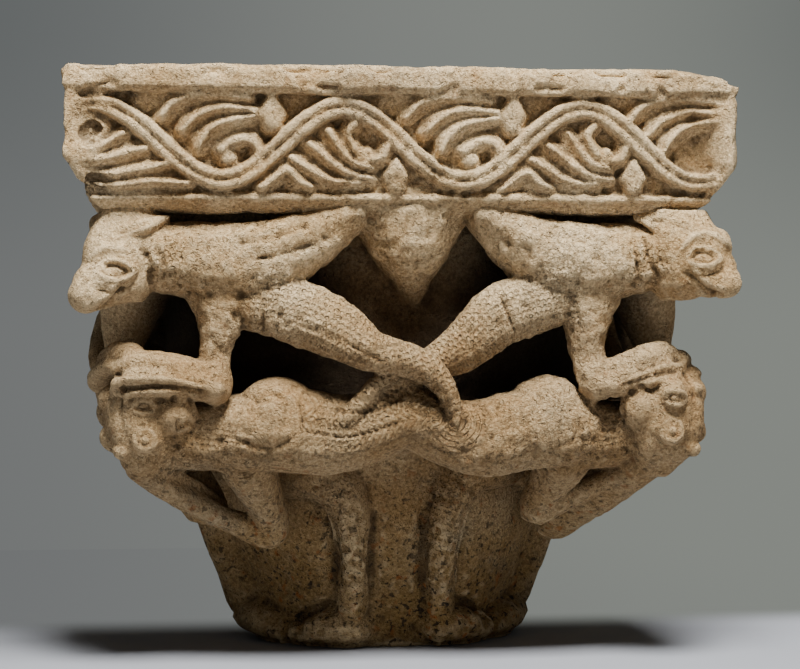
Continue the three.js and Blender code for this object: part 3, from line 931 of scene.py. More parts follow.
LEFT_HEADS = HeadShape(
    skull=((82, 80.5, 5), (83, 83, 9), (83.5, 86, 10.4), (83.8, 90, 10.6), (83.2, 94, 9.8), (80.5, 101, 8.6)),
    muzzle=((80, 88.6, 9, 9), (86, 86, 8.6, 8.6), (90.4, 83.6, 7, 7.4), (92.8, 82, 5.4, 5.8)),
    brow=(87, 90.8, 7.2),
    ear=((83, 94.8, 86, 2.6, 6), (77, 96.6, 89, 3, 5), (70, 98.6, 86, 1.2, 3)),
    shift=0,
    lobe=(66.8, 56.2, 6),
)
RIGHT_HEADS = HeadShape(
    skull=((84, 81, 5), (85, 84, 9.5), (85.5, 88, 11), (86, 91, 11), (86, 94.5, 10.8), (83, 101, 9.6)),
    muzzle=((84, 90.6, 9.6, 9.6), (90, 88.4, 9, 9), (93.6, 86.2, 7.6, 7.8), (95.4, 85, 5.2, 5.4)),
    brow=(93, 93.2, 5.6),
    ear=((86, 96, 87, 2.6, 6), (79, 97.8, 89.5, 3, 5), (71.5, 99.6, 86, 1.2, 3)),
    shift=4.5,
    lobe=(71.8, 57.4, 6.2),
)
LOWER_SKULL = ((73, 41.5, 4.5), (75.5, 47, 9.6), (76.4, 53, 11.6), (76.4, 59, 11.6), (75, 64, 9))


@dataclass
class Heads:
    """The two heads at one corner, each shared by the sides that meet there."""

    block: Block
    shape: HeadShape

    def build(self, carving: Carving) -> None:
        """Adds the upper and the lower head at the front left corner."""
        shape = self.shape
        carving.column(shape.skull, 3)
        carving.limb([(-out, up, out, half, depth) for out, up, half, depth in shape.muzzle])
        out, up, radius = shape.brow
        carving.lump((-out, up, out), (radius, radius, radius))
        shift = shape.shift
        carving.column([(out + shift, up, half) for out, up, half in LOWER_SKULL], 2.8)
        for curl in range(5):
            radius = 4.0 - 0.3 * curl
            carving.lump((-83 - shift, 61.4 - 3.3 * curl, 83 + shift), (radius, 2.7, radius))
        for at in (self.front, self.round_corner):
            carving.limb([at(station) for station in shape.ear])
            self.lower_side(carving, at)

    def front(self, place: Sequence[float]) -> tuple:
        """Returns a place given to the left of the front side's middle."""
        return (-place[0], *place[1:])

    def round_corner(self, place: Sequence[float]) -> tuple:
        """Returns the twin of such a place on the side round the corner."""
        return (-place[2], place[1], place[0], *place[3:])

    def lower_side(self, carving: Carving, at: Callable) -> None:
        """Adds one side of the lower head: ear lobe, hair over the brow, and cheek."""
        shift = self.shape.shift
        across, up, radius = self.shape.lobe
        carving.lump(at((across, up, 85 + 0.4 * shift)), (radius, 1.05 * radius, 6))
        carving.lump(at((across + 9.5, up + 3, 84.6 + shift)), (6, 5, 4.6))
        carving.lump(at((across + 9, up - 5.5, 84.6 + shift)), (5.4, 4.6, 4.6))


@dataclass(frozen=True)
class Trail:
    """A fine pattern that follows a line on one side.

    Attributes:
        pattern: What is cut.
        line: The line's places, as (across, up) in percent.
        reach: How far from the line the pattern goes, in metres.
        nearest: How far out the surface has to be, in percent, to carry it.
    """

    pattern: Pattern
    line: tuple[Flat, ...]
    reach: float
    nearest: float


TRAILS = (
    Trail(Pattern.SCALES, tuple((s[0], s[1]) for s in UPPER_LEFT_TAIL), 0.019, 84),
    Trail(Pattern.SCALES, tuple((s[0], s[1]) for s in UPPER_RIGHT_TAIL), 0.019, 78),
    Trail(Pattern.BARBS, ((-30.8, 52.8), (-16, 51.3), (0.3, 54.9), (9, 55.5)), 0.009, 84),
    Trail(Pattern.BARBS, ((-30, 57.8), (-10.1, 56.7), (0.3, 60.3), (9, 59)), 0.008, 84),
    Trail(Pattern.TUFTS, ((-68, 49), (-58, 48), (-48, 47)), 0.018, 74),
    Trail(Pattern.TUFTS, ((68, 52), (60, 51), (54, 50)), 0.016, 74),
    Trail(Pattern.TUFTS, ((-24, 40), (-18, 30), (-15, 22)), 0.018, 50),
    Trail(Pattern.TUFTS, ((24, 40), (18, 30), (15, 22)), 0.018, 50),
    Trail(Pattern.TUFTS, ((-72, 92), (-70, 88), (-68, 84)), 0.012, 84),
    Trail(Pattern.TUFTS, ((76, 92), (72, 88), (70, 84)), 0.012, 84),
)


HEAD_NEAREST = 76
FACE_ASPECT = 0.73


@dataclass(frozen=True)
class Groove:
    """A line cut into the front, or raised from it.

    Attributes:
        line: The line's places, as (across, up) in percent.
        width: How wide it is, in metres.
        depth: How deep it is, in metres, and negative for a raised one.
        nearest: How far out the surface has to be, in percent, to take it.
    """

    line: tuple[Flat, ...]
    width: float
    depth: float
    nearest: float = 80


def shrunk(line: Sequence[Flat], middle: Flat, wide: float, tall: float) -> tuple[Flat, ...]:
    """Returns a line drawn in towards a middle, by a factor across and one up."""
    return tuple((middle[0] + wide * (a - middle[0]), middle[1] + tall * (u - middle[1])) for a, u in line)


def rings(across: float, up: float, radius: float) -> tuple[Groove, ...]:
    """Returns a raised ring round a raised dot, as (across, up, radius) in percent."""
    turns = [math.radians(40 * step) for step in range(10)]
    tall = FACE_ASPECT * radius
    line = tuple((across + radius * math.cos(turn), up + tall * math.sin(turn)) for turn in turns)
    return (
        Groove(line, 0.0013, -0.0012, HEAD_NEAREST),
        Groove(shrunk(line, (across, up), 0.5, 0.5), 0.0011, 0.0010, HEAD_NEAREST),
        Groove(((across - 0.2, up), (across + 0.2, up)), 0.0015, -0.0006, HEAD_NEAREST),
    )


def eye(across: float, up: float, wide: float) -> tuple[Groove, ...]:
    """Returns an almond eye with raised lids and a line cut round its ball, in percent."""
    tall = 0.48 * wide
    inner, outer = (across - wide, up - 0.3), (across + wide, up)
    crown = (across - 0.45 * wide, up + 0.8 * tall), (across + 0.4 * wide, up + 0.7 * tall)
    pouch = (across - 0.45 * wide, up - 0.6 * tall), (across + 0.4 * wide, up - 0.6 * tall)
    lids = [(inner, *middle, outer) for middle in (crown, pouch)]
    ball = [shrunk(lid, (across, up), 0.62, 0.5) for lid in lids]
    raised = [Groove(lid, 0.0011, -0.0019, HEAD_NEAREST) for lid in lids]
    return *raised, *(Groove(line, 0.0008, 0.0011, HEAD_NEAREST) for line in ball)


GROOVES = (
    Groove(((-49.9, 93.4), (-42, 93.9), (-33.7, 95.6), (-27.8, 97.6)), 0.0015, 0.0016),
    Groove(((-49, 89.1), (-41.1, 90), (-33.7, 91.3), (-26.1, 93.1)), 0.0015, 0.0016),
    Groove(((62, 93), (50, 94), (38, 96.4)), 0.002, 0.001),
    Groove(((-42, 80.9), (-41.8, 76.6), (-41.7, 72.7)), 0.001, 0.002, 76),
    Groove(((28.7, 82.1), (31, 78), (33.9, 73.3)), 0.001, 0.002, 76),
    Groove(((-77.8, 93), (-74.6, 89), (-74.5, 84)), 0.0014, 0.0020),
    Groove(((-74, 93), (-71, 89), (-70.4, 85)), 0.0012, 0.0014),
    Groove(((72, 95.4), (73.5, 90), (76.6, 85.4)), 0.0014, 0.0020),
    Groove(((69, 93), (69.6, 89), (71, 85)), 0.0012, 0.0014),
    *eye(-84.6, 87, 5.8),
    *eye(88.6, 90.2, 5.4),
    *eye(-76.4, 57.8, 3.8),
    *eye(81, 59.6, 3.8),
    Groove(((-84, 95), (-78, 96.6), (-72, 98.2)), 0.0010, 0.0014, 84),
    Groove(((86, 96.2), (80, 97.6), (74, 99)), 0.0010, 0.0014, 84),
    Groove(((-93, 88.6), (-88, 91.8), (-80.6, 91.6)), 0.0016, -0.0017, 80),
    Groove(((-91, 83.4), (-86, 82.6), (-80.4, 83.6), (-77, 87)), 0.0012, 0.0014, 80),
    Groove(((-92.4, 77.6), (-87, 79.6), (-81.6, 84.2)), 0.0013, 0.0026, 76),
    Groove(((-94, 79.8), (-88, 81.6), (-83, 85.6)), 0.0014, -0.0012, 76),
    Groove(((-92.2, 80.6), (-91.6, 80.4)), 0.0012, 0.0016, 80),
    Groove(((97.4, 92.6), (91, 95.4), (85, 94.4), (81.4, 91.2)), 0.0016, -0.0018, 82),
    Groove(((82, 87.4), (87.4, 86.2), (92.6, 87), (96, 89.6)), 0.0012, 0.0014, 82),
    Groove(((95, 81.4), (89.6, 83), (83.6, 87)), 0.0013, 0.0024, 76),
    Groove(((95.6, 83), (90, 84.6), (85, 88.2)), 0.0013, -0.0011, 76),
    *rings(-76.2, 50.9, 3.2),
    *rings(80.2, 52.4, 3.2),
    Groove(((-62, 58.6), (-65.5, 60.6), (-69.5, 59)), 0.0012, 0.0012, 78),
    Groove(((67, 60), (71, 62), (75, 60.4)), 0.0012, 0.0012, 78),
    Groove(((-82, 64), (-83.4, 58), (-82.4, 51)), 0.0014, 0.0014, 78),
    Groove(((86, 65), (87.4, 59), (86.4, 52)), 0.0014, 0.0014, 80),
    Groove(((-58, 62.8), (-70, 65.2), (-86, 65)), 0.0013, 0.0018, 82),
    Groove(((-58, 61.2), (-70, 62.4), (-85, 61.6)), 0.0012, 0.0016, 82),
    Groove(((63, 63), (75, 66.8), (86, 68)), 0.0013, 0.0018, 82),
    Groove(((64, 61.8), (75, 64.4), (85, 65.6)), 0.0012, 0.0016, 82),
    Groove(((-38, 76), (-26, 74.5), (-15, 70.5), (-5, 67)), 0.0014, 0.0011),
    Groove(((-30.8, 52.8), (-16, 51.3), (0.3, 54.9)), 0.0012, 0.0014),
    Groove(((-22, 57.1), (-10.1, 56.7), (0.3, 60.3)), 0.0012, 0.0014),
    Groove(((-51, 62), (-42, 59), (-31, 62)), 0.0014, 0.0012),
    Groove(((-31, 60), (-31, 53), (-40, 48.5), (-50, 51)), 0.0014, 0.0013),
    Groove(((-45, 57), (-41, 60.5), (-35.5, 59), (-36, 54), (-41, 53)), 0.0014, 0.0011),
    Groove(((-17, 11), (-22, 9.4), (-27.6, 6.6), (-29.6, 2)), 0.0024, 0.0028, 34),
    Groove(((21, 11.4), (26, 9.8), (31.6, 7), (33.4, 2.4)), 0.0024, 0.0028, 34),
    Groove(((-5, 34), (-5.6, 22), (-5.4, 13)), 0.0030, 0.0018, 34),
    Groove(((-18.6, 33), (-18, 24), (-17.4, 13)), 0.0030, 0.0024, 34),
    Groove(((9.8, 34), (9.8, 22), (9.6, 13)), 0.0030, 0.0024, 34),
    Groove(((23.4, 34), (22.6, 24), (22, 13)), 0.0030, 0.0024, 34),
)


BARB_SPACING = 0.0038
BARB_DEPTH = 0.00045
BARB_SLANT = 0.9
SCALE_SPACING = 0.0062
SCALE_DEPTH = 0.0005
TUFT_SIZE = 0.0036
TUFT_DEPTH = 0.0012


class Surface:
    """The fused stone's points and normals, which the weathering moves."""

    def __init__(self, mesh: bpy.types.Mesh, block: Block) -> None:
        """Reads a mesh."""
        self.mesh = mesh
        self.block = block
        count = len(mesh.vertices)
        self.points = np.empty(3 * count, np.float32)
        mesh.vertices.foreach_get("co", self.points)
        self.points = self.points.reshape(-1, 3).astype(float)
        self.normals = np.empty(3 * count, np.float32)
        mesh.vertices.foreach_get("normal", self.normals)
        self.normals = self.normals.reshape(-1, 3).astype(float)

    def write(self) -> None:
        """Gives the moved points back to the mesh."""
        self.mesh.vertices.foreach_set("co", self.points.astype(np.float32).ravel())
        self.mesh.update()

    def near(self, line: Sequence[Flat], reach: float, nearest: float) -> tuple[np.ndarray, ...]:
        """Finds the front's points near a line.

        Args:
            line: The line's places, as (across, up) in percent.
            reach: How far from the line to look, in metres.
            nearest: How far out a point has to be, in percent.

        Returns:
            The points' numbers, how far along the line each lies, and how far beside it.
        """
        block = self.block
        rows = np.array([(block.share(a), u / 100 * block.basket) for a, u in line])
        path = smooth_path(rows, POINTS_PER_STATION * len(rows))
        flat = self.points[:, [0, 2]]
        inside = ((flat > path.min(axis=0) - reach) & (flat < path.max(axis=0) + reach)).all(axis=1)
        inside &= (-self.points[:, 1] > block.share(nearest)) & (self.normals[:, 1] < FACES_FRONT)
        index = np.nonzero(inside)[0]
        return index, *follow(flat[index], path)

    def cut(self, groove: Groove) -> None:
        """Cuts a groove into the front."""
        index, along, beside = self.near(groove.line, 3 * groove.width, groove.nearest)
        depth = groove.depth * np.exp(-((beside / groove.width) ** 2))
        length = along.max(initial=0)
        if length > 8 * groove.width:
            depth *= ramp(np.minimum(along, length - along), -groove.width, 3 * groove.width)
        self.points[index] -= self.normals[index] * depth[:, None]

    def pattern(self, trail: Trail) -> None:
        """Cuts a trail's scales, barbs or tufts."""
        index, along, beside = self.near(trail.line, trail.reach, trail.nearest)
        strength = (1 - ramp(abs(beside), 0.8 * trail.reach, trail.reach)) * (along > 0)
        if trail.pattern is Pattern.BARBS:
            slant = along + BARB_SLANT * abs(beside)
            depth = BARB_DEPTH * np.sin(2 * math.pi * slant / BARB_SPACING)
        elif trail.pattern is Pattern.SCALES:
            turn = 2 * math.pi / SCALE_SPACING
            rows = np.sin(turn * (along + beside)) * np.sin(turn * (along - beside))
            depth = SCALE_DEPTH * np.clip(rows, 0, 1)
        else:
            depth = TUFT_DEPTH * ramp(noise(self.points[index], TUFT_SIZE, 21), 0.1, 0.6)
        self.points[index] -= self.normals[index] * (strength * depth)[:, None]


ERODED_SPOTS = (
    (-45, 86, 0.042),
    (52, 88, 0.055),
    (38, 50, 0.05),
    (60, 74, 0.03),
    (-52, 76, 0.025),
    (3, 94, 0.045),
)


@dataclass
class Weathering:
    """Wear, chips and pits, moved into the surface.

    Attributes:
        block: The block.
        pit_depth: How deep the pits are, in metres.
        edge_wear: How far the whole band is worn back.
        chip_depth: How deep the chips in the band's edges are.
        end_wear: How far the corners of the abacus are worn back.
        foot: Below which height the underside is dressed flat.
        break_reach: How far in from the tip the broken corner starts.
        break_drop: How far the broken corner falls.
    """

    block: Block
    pit_depth: float = 0.0013
    edge_wear: float = 0.0005
    chip_depth: float = 0.005
    end_wear: float = 0.0034
    foot: float = 0.0022
    break_reach: float = 0.030
    break_drop: float = 0.012

    def apply(self, surface: Surface) -> None:
        """Wears the stone."""
        points = surface.points
        block = self.block
        out = np.maximum(abs(points[:, 0]), abs(points[:, 1]))
        waves = noise(points, 0.024, 1) * 0.0008 + noise(points, 0.010, 2) * 0.0005
        eroded = self.eroded(points)
        rough = noise(points, 0.0052, 3) * 0.0006 + noise(points, 0.0031, 4) * 0.0004
        pits = ramp(noise(points, 0.0058, 5), 0.35, 0.8) * self.pit_depth
        amount = waves + rough * (0.4 + 1.1 * eroded) - pits * (0.12 + eroded)
        band = ramp(points[:, 2], block.field_top - 0.003, block.field_top)
        band *= ramp(out, block.half - 0.006, block.half - 0.001)
        low_edge = np.exp(-(((points[:, 2] - block.field_top - 0.001) / 0.0045) ** 2))
        high_edge = np.exp(-(((points[:, 2] - block.height) / 0.006) ** 2))
        chips = ramp(noise(points, 0.016, 6) + 0.5 * noise(points, 0.006, 7), 0.05, 0.75)
        amount -= band * (self.edge_wear + self.chip_depth * chips * (low_edge + high_edge))
        ends = ramp(np.minimum(abs(points[:, 0]), abs(points[:, 1])), 0.150, 0.172)
        ends *= ramp(points[:, 2], block.basket + 0.004, block.field_bottom)
        amount -= ends * ramp(noise(points, 0.012, 8), -0.1, 0.8) * self.end_wear
        surface.points += surface.normals * amount[:, None]
        surface.points[points[:, 2] < self.foot, 2] = 0
        surface.points[:, 2] = np.minimum(surface.points[:, 2], block.height + 0.0006)
        surface.write()

    def eroded(self, points: np.ndarray) -> np.ndarray:
        """Returns how far each place has lost its carved skin, from 0 to 1."""
        half, basket = self.block.half, self.block.basket
        total = np.zeros(len(points))
        for across, up, reach in ERODED_SPOTS:
            centre = np.array((across * half / 100, -0.9 * half, up * basket / 100))
            total += np.exp(-((np.linalg.norm(points - centre, axis=1) / reach) ** 2))
        height = points[:, 2] / basket
        return np.clip(total + 0.5 * ramp(-height, -0.42, -0.15), 0, 1)

    def break_corner(self, surface: Surface) -> None:
        """Wears away the top corner at the front right."""
        points = surface.points
        reach = self.break_reach
        along = (points[:, 0] - points[:, 1]) / math.sqrt(2) - (self.block.half * math.sqrt(2) - reach)
        ceiling = self.block.height - along * self.break_drop / reach + 0.0014 * noise(points, 0.012, 9)
        over = (along > 0) & (points[:, 2] > ceiling)
        surface.points[over, 2] = ceiling[over]
        past = np.clip(along - 0.8 * reach, 0, None) / math.sqrt(2)
        surface.points[:, 0] -= past
        surface.points[:, 1] += past
        surface.write()


@dataclass
class Stone:
    """One piece of the stone, from overlapping forms to a worn and thinned mesh.

    Attributes:
        name: The piece's name.
        block: The block.
        grain: How fine its skin is, in metres.
        most_faces: How many triangles it may have.
        front_depth: How far in front of the middle the thinning fades out.
        spread: How many times the surroundings of a point are averaged to find the hollows.
    """

    name: str
    block: Block
    grain: float
    coarse: float = 2.2
    most_faces: int = 188000
    front_depth: float = 0.08
    spread: int = 10

    def build(self, forms: Sequence[bpy.types.Mesh], carved: bool) -> bpy.types.Object:
        """Returns the finished piece.

        Args:
            forms: The overlapping forms, which are used up.
            carved: Whether the fine patterns and grooves of the front are cut into it.

        Returns:
            The piece.
        """
        stone = self.gather(forms)
        self.fuse(stone, 7 if carved else 2)
        LOG.info("%s: fused skin of %d faces", self.name, len(stone.data.polygons))
        surface = Surface(stone.data, self.block)
        for groove in GROOVES if carved else ():
            surface.cut(groove)
        for trail in TRAILS if carved else ():
            surface.pattern(trail)
        weathering = Weathering(self.block)
        weathering.apply(surface)
        if not carved:
            weathering.break_corner(surface)
        self.mark(stone, carved)
        self.thin(stone)
        LOG.info("%s: thinned to %d faces", self.name, len(stone.data.polygons))
        stone.data.polygons.foreach_set("use_smooth", [True] * len(stone.data.polygons))
        return stone

    def gather(self, forms: Sequence[bpy.types.Mesh]) -> bpy.types.Object:
        """Returns the forms as one object."""
        whole = bmesh.new()
        for form in forms:
            whole.from_mesh(form)
            bpy.data.meshes.remove(form)
        return in_scene(self.name, as_mesh(whole, self.name))

    def fuse(self, stone: bpy.types.Object, rounds: int) -> None:
        """Makes one skin of the overlapping forms, softened in a number of rounds."""
        remesh = stone.modifiers.new("skin", "REMESH")
        remesh.mode = "VOXEL"
        remesh.voxel_size = self.grain * 1
        soften = stone.modifiers.new("soften", "SMOOTH")
        soften.factor = 0.5
        soften.iterations = rounds
        bake_modifiers(stone)

    def thin(self, stone: bpy.types.Object) -> None:
        """Brings the mesh under its limit, keeping most faces on the front."""
        faces = 2 * len(stone.data.polygons)
        if faces <= self.most_faces:
            return
        surface = Surface(stone.data, self.block)
        group = stone.vertex_groups.new(name="rear")
        weight = ramp(surface.points[:, 1], -self.front_depth, 0.0)
        weight = np.round(np.clip(weight, 0.1, 1), 1)
        for level in np.unique(weight):
            group.add(np.nonzero(weight == level)[0].tolist(), float(level), "REPLACE")
        decimate = stone.modifiers.new("thin", "DECIMATE")
        decimate.ratio = self.most_faces / faces
        decimate.vertex_group = "rear"
        decimate.vertex_group_factor = 1.0
        bake_modifiers(stone)
        stone.vertex_groups.clear()

    def mark(self, stone: bpy.types.Object, carved: bool) -> None:
        """Stores the hollows, the undercut places that the finish darkens as painted shade, the wear and the
        fine patterns on the mesh, for the stone's finish.
        """
        surface = Surface(stone.data, self.block)
        store(stone.data, "hollow", hollows(surface, self.spread))
        store(stone.data, "worn", Weathering(self.block).eroded(surface.points))
        out = np.maximum(abs(surface.points[:, 0]), abs(surface.points[:, 1]))
        up = surface.points[:, 2] / self.block.basket
        # The undercut places behind the upper figures, stored for the finish to paint as shade.
        inside = ramp(-out, -0.158, -0.126)
        store(stone.data, "deep", inside * ramp(up, 0.44, 0.56) * ramp(-up, -1.0, -0.97))
        places = np.zeros((len(surface.points), 3))
        masks = {pattern: np.zeros(len(places)) for pattern in Pattern}
        for trail in TRAILS if carved else ():
            index, along, beside = surface.near(trail.line, trail.reach, trail.nearest)
            strength = (1 - ramp(abs(beside), 0.75 * trail.reach, trail.reach)) * (along > 0)
            mask = masks[trail.pattern]
            mask[index] = np.maximum(mask[index], strength)
            rows = np.stack([along, beside, np.zeros(len(along))], axis=1) * 100
            places[index[strength > 0]] = rows[strength > 0]
        for pattern, mask in masks.items():
            store(stone.data, pattern.value, mask)
        layer = stone.data.attributes.new("trail", "FLOAT_VECTOR", "POINT")
        layer.data.foreach_set("vector", places.astype(np.float32).ravel())


def bake_modifiers(piece: bpy.types.Object) -> None:
    """Replaces an object's mesh by what its modifiers make of it."""
    depsgraph = bpy.context.evaluated_depsgraph_get()
    before = piece.data
    made = bpy.data.meshes.new_from_object(piece.evaluated_get(depsgraph))
    piece.modifiers.clear()
    piece.data = made
    bpy.data.meshes.remove(before)
    made.name = piece.name


def store(mesh: bpy.types.Mesh, name: str, values: np.ndarray) -> None:
    """Stores one number for each point under a name."""
    layer = mesh.attributes.new(name, "FLOAT", "POINT")
    layer.data.foreach_set("value", values.astype(np.float32))


def hollows(surface: Surface, rounds: int) -> np.ndarray:
    """Measures how far each point lies below its surroundings.

    Args:
        surface: The surface.
        rounds: How many times the surroundings are averaged.

    Returns:
        Millimetres below the surroundings, negative where the point stands proud.
    """
    edges = surface.mesh.edges
    ends = np.empty(2 * len(edges), np.int32)
    edges.foreach_get("vertices", ends)
    a, b = ends.reshape(-1, 2).T
    count = len(surface.points)
    degree = np.maximum(np.bincount(a, minlength=count) + np.bincount(b, minlength=count), 1)
    mean = surface.points.copy()
    for _ in range(rounds):
        total = np.empty_like(mean)
        for axis in range(3):
            total[:, axis] = np.bincount(a, mean[b, axis], count) + np.bincount(b, mean[a, axis], count)
        mean = total / degree[:, None]
    return 1000 * np.einsum("ij,ij->i", mean - surface.points, surface.normals)


@dataclass
class Capital:
    """The whole capital: the abacus and the basket below it, each carved on four sides."""

    block: Block

    def abacus(self) -> bpy.types.Object:
        """Returns the abacus, with a fine front and three plainer sides."""
        middle, corner = Carving(self.block), Carving(self.block)
        Abacus(self.block).build(middle)
        Abacus(self.block).post(corner)
        sides = {work: Carving(self.block) for work in Work}
        for work, carving in sides.items():
            Vine(self.block, work).build(carving)
        forms = [middle.turned(0)]
        for quarter in range(4):
            forms += [corner.turned(quarter), sides[Work.PLAIN if quarter else Work.FINE].turned(quarter)]
        return Stone("carved_abacus", self.block, 0.00095).build(forms, carved=False)

    def basket(self) -> bpy.types.Object:
        """Returns the basket, with a fine front and three plainer sides."""
        bell = Bell(self.block)
        middle = Carving(self.block)
        bell.build(middle)
        sides = {work: Carving(self.block) for work in Work}
        for work, carving in sides.items():
            Beasts(self.block, bell, work).build(carving)
        forms = [middle.turned(0)]
        for quarter, shape in enumerate((LEFT_HEADS, RIGHT_HEADS, LEFT_HEADS, LEFT_HEADS)):
            carving = Carving(self.block)
            Heads(self.block, shape).build(carving)
            forms += [carving.turned(quarter), sides[Work.PLAIN if quarter else Work.FINE].turned(quarter)]
        web = Carving(self.block)
        for place, radii in LEFT_SIDE_WEB:
            web.lump(place, radii)
        forms.append(web.turned(3))
        return Stone("carved_basket", self.block, 0.00115).build(forms, carved=True)


class Nodes:
    """Places and links the nodes of one tree."""

    def __init__(self, tree: bpy.types.NodeTree) -> None:
        """Keeps the tree."""
        self.tree = tree

    def add(self, kind: str, inputs: dict | None = None, **settings: object) -> bpy.types.Node:
        """Adds a node, sets it, and feeds its inputs with values or sockets.

        Args:
            kind: The node's type.
            inputs: Values or output sockets by the input's name or number.
            **settings: The node's own settings.

        Returns:
            The node.
        """
        node = self.tree.nodes.new(kind)
        for name, value in settings.items():
            setattr(node, name, value)
        for name, value in (inputs or {}).items():
            self.feed(node.inputs[name], value)
        return node

    def feed(self, socket: bpy.types.NodeSocket, value: object) -> None:
        """Links another node's output to a socket, or sets the socket's own value."""
        if isinstance(value, bpy.types.NodeSocket):
            self.tree.links.new(value, socket)
        else:
            socket.default_value = value

    def attribute(self, name: str, output: str = "Fac") -> bpy.types.NodeSocket:
        """Returns what is stored on the mesh under a name."""
        return self.add("ShaderNodeAttribute", attribute_name=name).outputs[output]

    def math(self, operation: str, *values: object) -> bpy.types.NodeSocket:
        """Returns the result of a sum on values or sockets."""
        return self.add("ShaderNodeMath", dict(enumerate(values)), operation=operation).outputs[0]

    def product(self, first: object, second: object) -> bpy.types.NodeSocket:
        """Returns two values or sockets multiplied."""
        return self.math("MULTIPLY", first, second)

    def span(
        self,
        value: object,
        low: float,
        high: float,
        start: float = 0.0,
        end: float = 1.0,
    ) -> bpy.types.NodeSocket:
        """Returns a value carried smoothly from one span to another.

        Args:
            value: The value.
            low: Where the first span starts.
            high: Where it ends.
            start: What low becomes.
            end: What high becomes.

        Returns:
            The result, held at the ends.
        """
        inputs = {"Value": value, "From Min": low, "From Max": high, "To Min": start, "To Max": end}
        node = self.add("ShaderNodeMapRange", inputs, interpolation_type="SMOOTHSTEP")
        return node.outputs["Result"]

    def mix(self, factor: object, first: object, second: object, blend: str = "MIX") -> bpy.types.NodeSocket:
        """Returns two colours mixed."""
        node = self.add("ShaderNodeMix", data_type="RGBA", blend_type=blend)
        factor_input, first_input, second_input, colour_output = 0, 6, 7, 2
        self.feed(node.inputs[factor_input], factor)
        self.feed(node.inputs[first_input], first)
        self.feed(node.inputs[second_input], second)
        return node.outputs[colour_output]

    def noise(
        self,
        place: object,
        scale: float,
        detail: float = 4.0,
        rough: float = 0.55,
    ) -> bpy.types.NodeSocket:
        """Returns fractal noise at a place, with so many lumps to the metre."""
        inputs = {"Vector": place, "Scale": scale, "Detail": detail, "Roughness": rough}
        return self.add("ShaderNodeTexNoise", inputs).outputs["Fac"]


def colour(red: int, green: int, blue: int) -> tuple[float, float, float, float]:
    """Returns a screen colour, from 11 to 255 each, as the linear colour that shaders take."""
    linear = [((value / 255 + 0.055) / 1.055) ** 2.4 for value in (red, green, blue)]
    return (*linear, 1.0)


